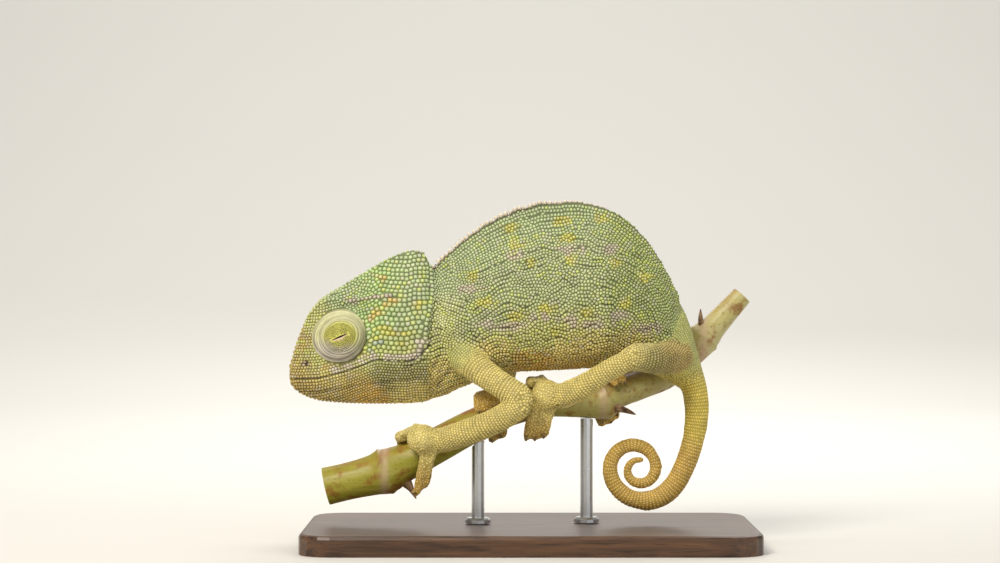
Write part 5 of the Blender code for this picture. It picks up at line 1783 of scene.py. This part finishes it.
for share, tone in ((age, "#B9B078"), (streak_share, "#B0A44A"), (rust_share, "#8A5A1E"), (rubbed, "#97682A"),
                    (speck_share, "#6A4A1C"), (joint_share, "#C2A68A"), (marks["cut"], "#CDBE86"),
                    (marks["hollow"], "#4A3820")):
    colour = add(tree, "ShaderNodeMix", {"Factor": share, "A": colour, "B": linear(tone)}, data_type="RGBA")
gloss = add(tree, "ShaderNodeMapRange", span(rust_share, 0.0, 1.0, 0.42, 0.65))
ridges = add(tree, "ShaderNodeBump", {"Strength": 0.5, "Distance": 0.12 * MM, "Height": streaks})
pores = add(tree, "ShaderNodeBump", {"Strength": 0.4, "Distance": 0.10 * MM, "Height": blotch,
                                     "Normal": ridges})
feed(shader, {"Base Color": colour, "Roughness": gloss, "Normal": pores})
shader.inputs["IOR"].default_value = 1.45
stem = make_stem()
stem.data.materials.append(waxy_stem)

# %% [markdown]
# At each joint a dry leaf scale sticks out, brown and shrivelled like thin bark. Each is a flattened cone,
# bent along its length and twisted at the tip.

# %% Leaf scars
SPURS = (  # root, tip and root radius, as in the stem's solid
    ((-33, -1, 17.5), (-28.4, -1.6, 11.4), 1.9),
    ((18.5, 1.6, 34.2), (26.4, -1.4, 32.4), 1.7),
    ((45, 14, 52), (43.6, 11.6, 58.6), 1.3),
)
SPUR_BEND = 0.5
SPUR_SIDES = 14
SPUR_RINGS = 16

dry_bark, tree, shader = new_material("dry_leaf_scale")
here = add(tree, "ShaderNodeTexCoord").outputs["Object"]
fibre_at = add(tree, "ShaderNodeMapping", {"Scale": (500.0, 1800.0, 700.0), "Vector": here})
fibre = add(tree, "ShaderNodeTexNoise", {"Scale": 1.0, "Detail": 5.0, "Vector": fibre_at})
bark_tones = add(tree, "ShaderNodeValToRGB", {"Fac": fibre}, stops=((0.32, "#4E3420"), (0.68, "#A98A66")))
ridges = add(tree, "ShaderNodeBump", {"Strength": 0.7, "Distance": 0.2 * MM, "Height": fibre})
feed(shader, {"Base Color": bark_tones, "Normal": ridges})
shader.inputs["Roughness"].default_value = 0.8


def cone_mesh(middles, sizes, sides, flat=1.0, twist=0.0):
    """A closed tapering tube through middle points; flat squeezes it and twist turns it on the way."""
    points = []
    for n, (middle, size) in enumerate(zip(middles, sizes)):
        near, far = middles[max(n - 1, 0)], middles[min(n + 1, len(middles) - 1)]
        ahead = (far - near).normalized()
        across = ahead.cross(Vector((0, 1, 0))).normalized()
        other = ahead.cross(across)
        spin = twist * n / (len(middles) - 1)
        for k in range(sides):
            turn = 2 * math.pi * k / sides
            u, v = size * math.cos(turn), size * flat * math.sin(turn)
            points.append(middle + across * (u * math.cos(spin) - v * math.sin(spin))
                          + other * (u * math.sin(spin) + v * math.cos(spin)))
    return points, end_caps(len(middles), sides) + ring_faces(len(middles), sides)


def joined_cones(name, cones, material):
    """One piece from several cones."""
    points, faces = [], []
    for some_points, some_faces in cones:
        faces += [tuple(i + len(points) for i in face) for face in some_faces]
        points += some_points
    mesh = new_mesh(name, points, faces)
    face_out(mesh)
    mesh.shade_smooth()
    mesh.set_sharp_from_angle(angle=SHARP_ANGLE)
    return new_piece(name, mesh, material)


cones = []
for root, tip, radius in SPURS:
    a, b = Vector(root), Vector(tip)
    bend = (b - a).cross(Vector((0, 1, 0))).normalized() * SPUR_BEND
    middles, sizes = [], []
    for n in range(SPUR_RINGS + 1):
        part = n / SPUR_RINGS
        middles.append(a.lerp(b, part) + bend * math.sin(math.pi * part))
        sizes.append(radius * (1 - part) ** 0.8 * (1 + 0.10 * math.sin(9 * part + a.x)) + 0.12)
    cones.append(cone_mesh(middles, sizes, SPUR_SIDES, 0.62, 0.8))
leaf_scars = joined_cones("leaf_scars", cones, dry_bark)

# %% [markdown]
# ## Claws
# Every toe ends in a short hooked claw of dense horn, dark brown at the tip and paler at its root. It is a
# small bent cone that starts inside the toe's end.

# %% Claws
CLAW_LENGTH = 1.8
CLAW_ROOT = 0.60
CLAW_TIP = 0.08
CLAW_START = 1.3  # how deep its root sits in the toe
CLAW_ARCH = 0.30
CLAW_HOOK = 0.80
CLAW_RINGS = 10
CLAW_SIDES = 12

horn, tree, shader = new_material("claw_horn")
here = add(tree, "ShaderNodeTexCoord").outputs["Object"]
banding = add(tree, "ShaderNodeTexNoise", {"Scale": 900.0, "Detail": 3.0, "Vector": here})
tip_share = add(tree, "ShaderNodeAttribute", attribute_name="tip").outputs["Fac"]
horn_tones = add(tree, "ShaderNodeValToRGB", {"Fac": tip_share}, stops=((0.0, "#A08552"), (1.0, "#3A2A1A")))
grooves = add(tree, "ShaderNodeBump", {"Strength": 0.3, "Distance": 0.05 * MM, "Height": banding})
feed(shader, {"Base Color": horn_tones, "Normal": grooves})
shader.inputs["Roughness"].default_value = 0.32
shader.inputs["IOR"].default_value = 1.54


cones = []
for claw in every_claw():
    middles, sizes = [], []
    for n in range(CLAW_RINGS + 1):
        part = n / CLAW_RINGS
        lift = CLAW_ARCH * math.sin(math.pi * part) - CLAW_HOOK * part ** 2
        middles.append(claw_point(claw, part * CLAW_LENGTH - CLAW_START, lift))
        sizes.append(CLAW_ROOT + (CLAW_TIP - CLAW_ROOT) * part ** 0.9)
    cones.append(cone_mesh(middles, sizes, CLAW_SIDES))
claws = joined_cones("claws", cones, horn)
tips = np.tile(np.repeat(np.linspace(0.0, 1.0, CLAW_RINGS + 1), CLAW_SIDES), len(cones))
store(claws.data, "tip", tips)
print(len(cones), "claws")

# %% [markdown]
# ## The stand
# The base is a block of dark oiled walnut with an eased edge, and the rods are brushed stainless steel. The
# frame's own solids have the right shapes here, so they stay and only get their finish.

# %% Stand materials
walnut, tree, shader = new_material("oiled_walnut")
here = add(tree, "ShaderNodeTexCoord").outputs["Object"]
grain_at = add(tree, "ShaderNodeMapping", {"Scale": (14.0, 180.0, 180.0), "Vector": here})
grain = add(tree, "ShaderNodeTexNoise", {"Scale": 3.0, "Detail": 6.0, "Roughness": 0.62, "Distortion": 0.6,
                                         "Vector": grain_at})
pore_at = add(tree, "ShaderNodeMapping", {"Scale": (120.0, 2200.0, 2200.0), "Vector": here})
pore = add(tree, "ShaderNodeTexNoise", {"Scale": 1.0, "Detail": 2.0, "Vector": pore_at})
walnut_tones = add(tree, "ShaderNodeValToRGB", {"Fac": grain}, stops=((0.30, "#2C1C12"), (0.72, "#6B4A30")))
pore_dark = add(tree, "ShaderNodeMapRange", span(pore, 0.34, 0.44, 0.55, 1.0))
walnut_colour = add(tree, "ShaderNodeVectorMath", {0: walnut_tones, "Scale": pore_dark}, operation="SCALE")
fine = add(tree, "ShaderNodeBump", {"Strength": 0.25, "Distance": 0.08 * MM, "Height": pore})
feed(shader, {"Base Color": walnut_colour, "Normal": fine})
shader.inputs["Roughness"].default_value = 0.38

steel, tree, shader = new_material("brushed_stainless_steel")
here = add(tree, "ShaderNodeTexCoord").outputs["Object"]
brush_at = add(tree, "ShaderNodeMapping", {"Scale": (300.0, 300.0, 9000.0), "Vector": here})
brush = add(tree, "ShaderNodeTexNoise", {"Scale": 1.0, "Detail": 2.0, "Vector": brush_at})
brushed = add(tree, "ShaderNodeMapRange", span(brush, 0.0, 1.0, 0.22, 0.38))
lines = add(tree, "ShaderNodeBump", {"Strength": 0.15, "Distance": 0.02 * MM, "Height": brush})
feed(shader, {"Roughness": brushed, "Normal": lines})
shader.inputs["Base Color"].default_value = linear("#C3C5C6")
shader.inputs["Metallic"].default_value = 1.0
for name, finish in (("stand_base", walnut), ("stand_rod_front", steel), ("stand_rod_rear", steel)):
    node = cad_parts[name]
    if not node.data.materials:
        node.data.materials.append(finish)
    for slot in node.material_slots:
        slot.material = finish

# %% [markdown]
# ## Hand over
# Every piece rides on the still model's one body. The skin stands for the flesh, the turrets,
# eyeballs and stem for their own solids.

# %% Ride, replace and finish
for piece, slot in ([(skin, "body_skin"), (claws, "limb_skin"), (stem, "stem"), (leaf_scars, "stem")]
                    + [(coat, "body_skin") for coat in coats] + [(turret, "body_skin") for turret in turrets]
                    + [(eyeball, "eye") for eyeball in eyeballs]):
    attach(piece, "root")
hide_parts(*[name for name in FLESH if not name.startswith("eye_")])
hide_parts("perch")
for turret, eyeball, label in zip(turrets, eyeballs, ("left", "right")):
    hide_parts("eye_turret_" + label)
    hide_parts("eyeball_" + label)
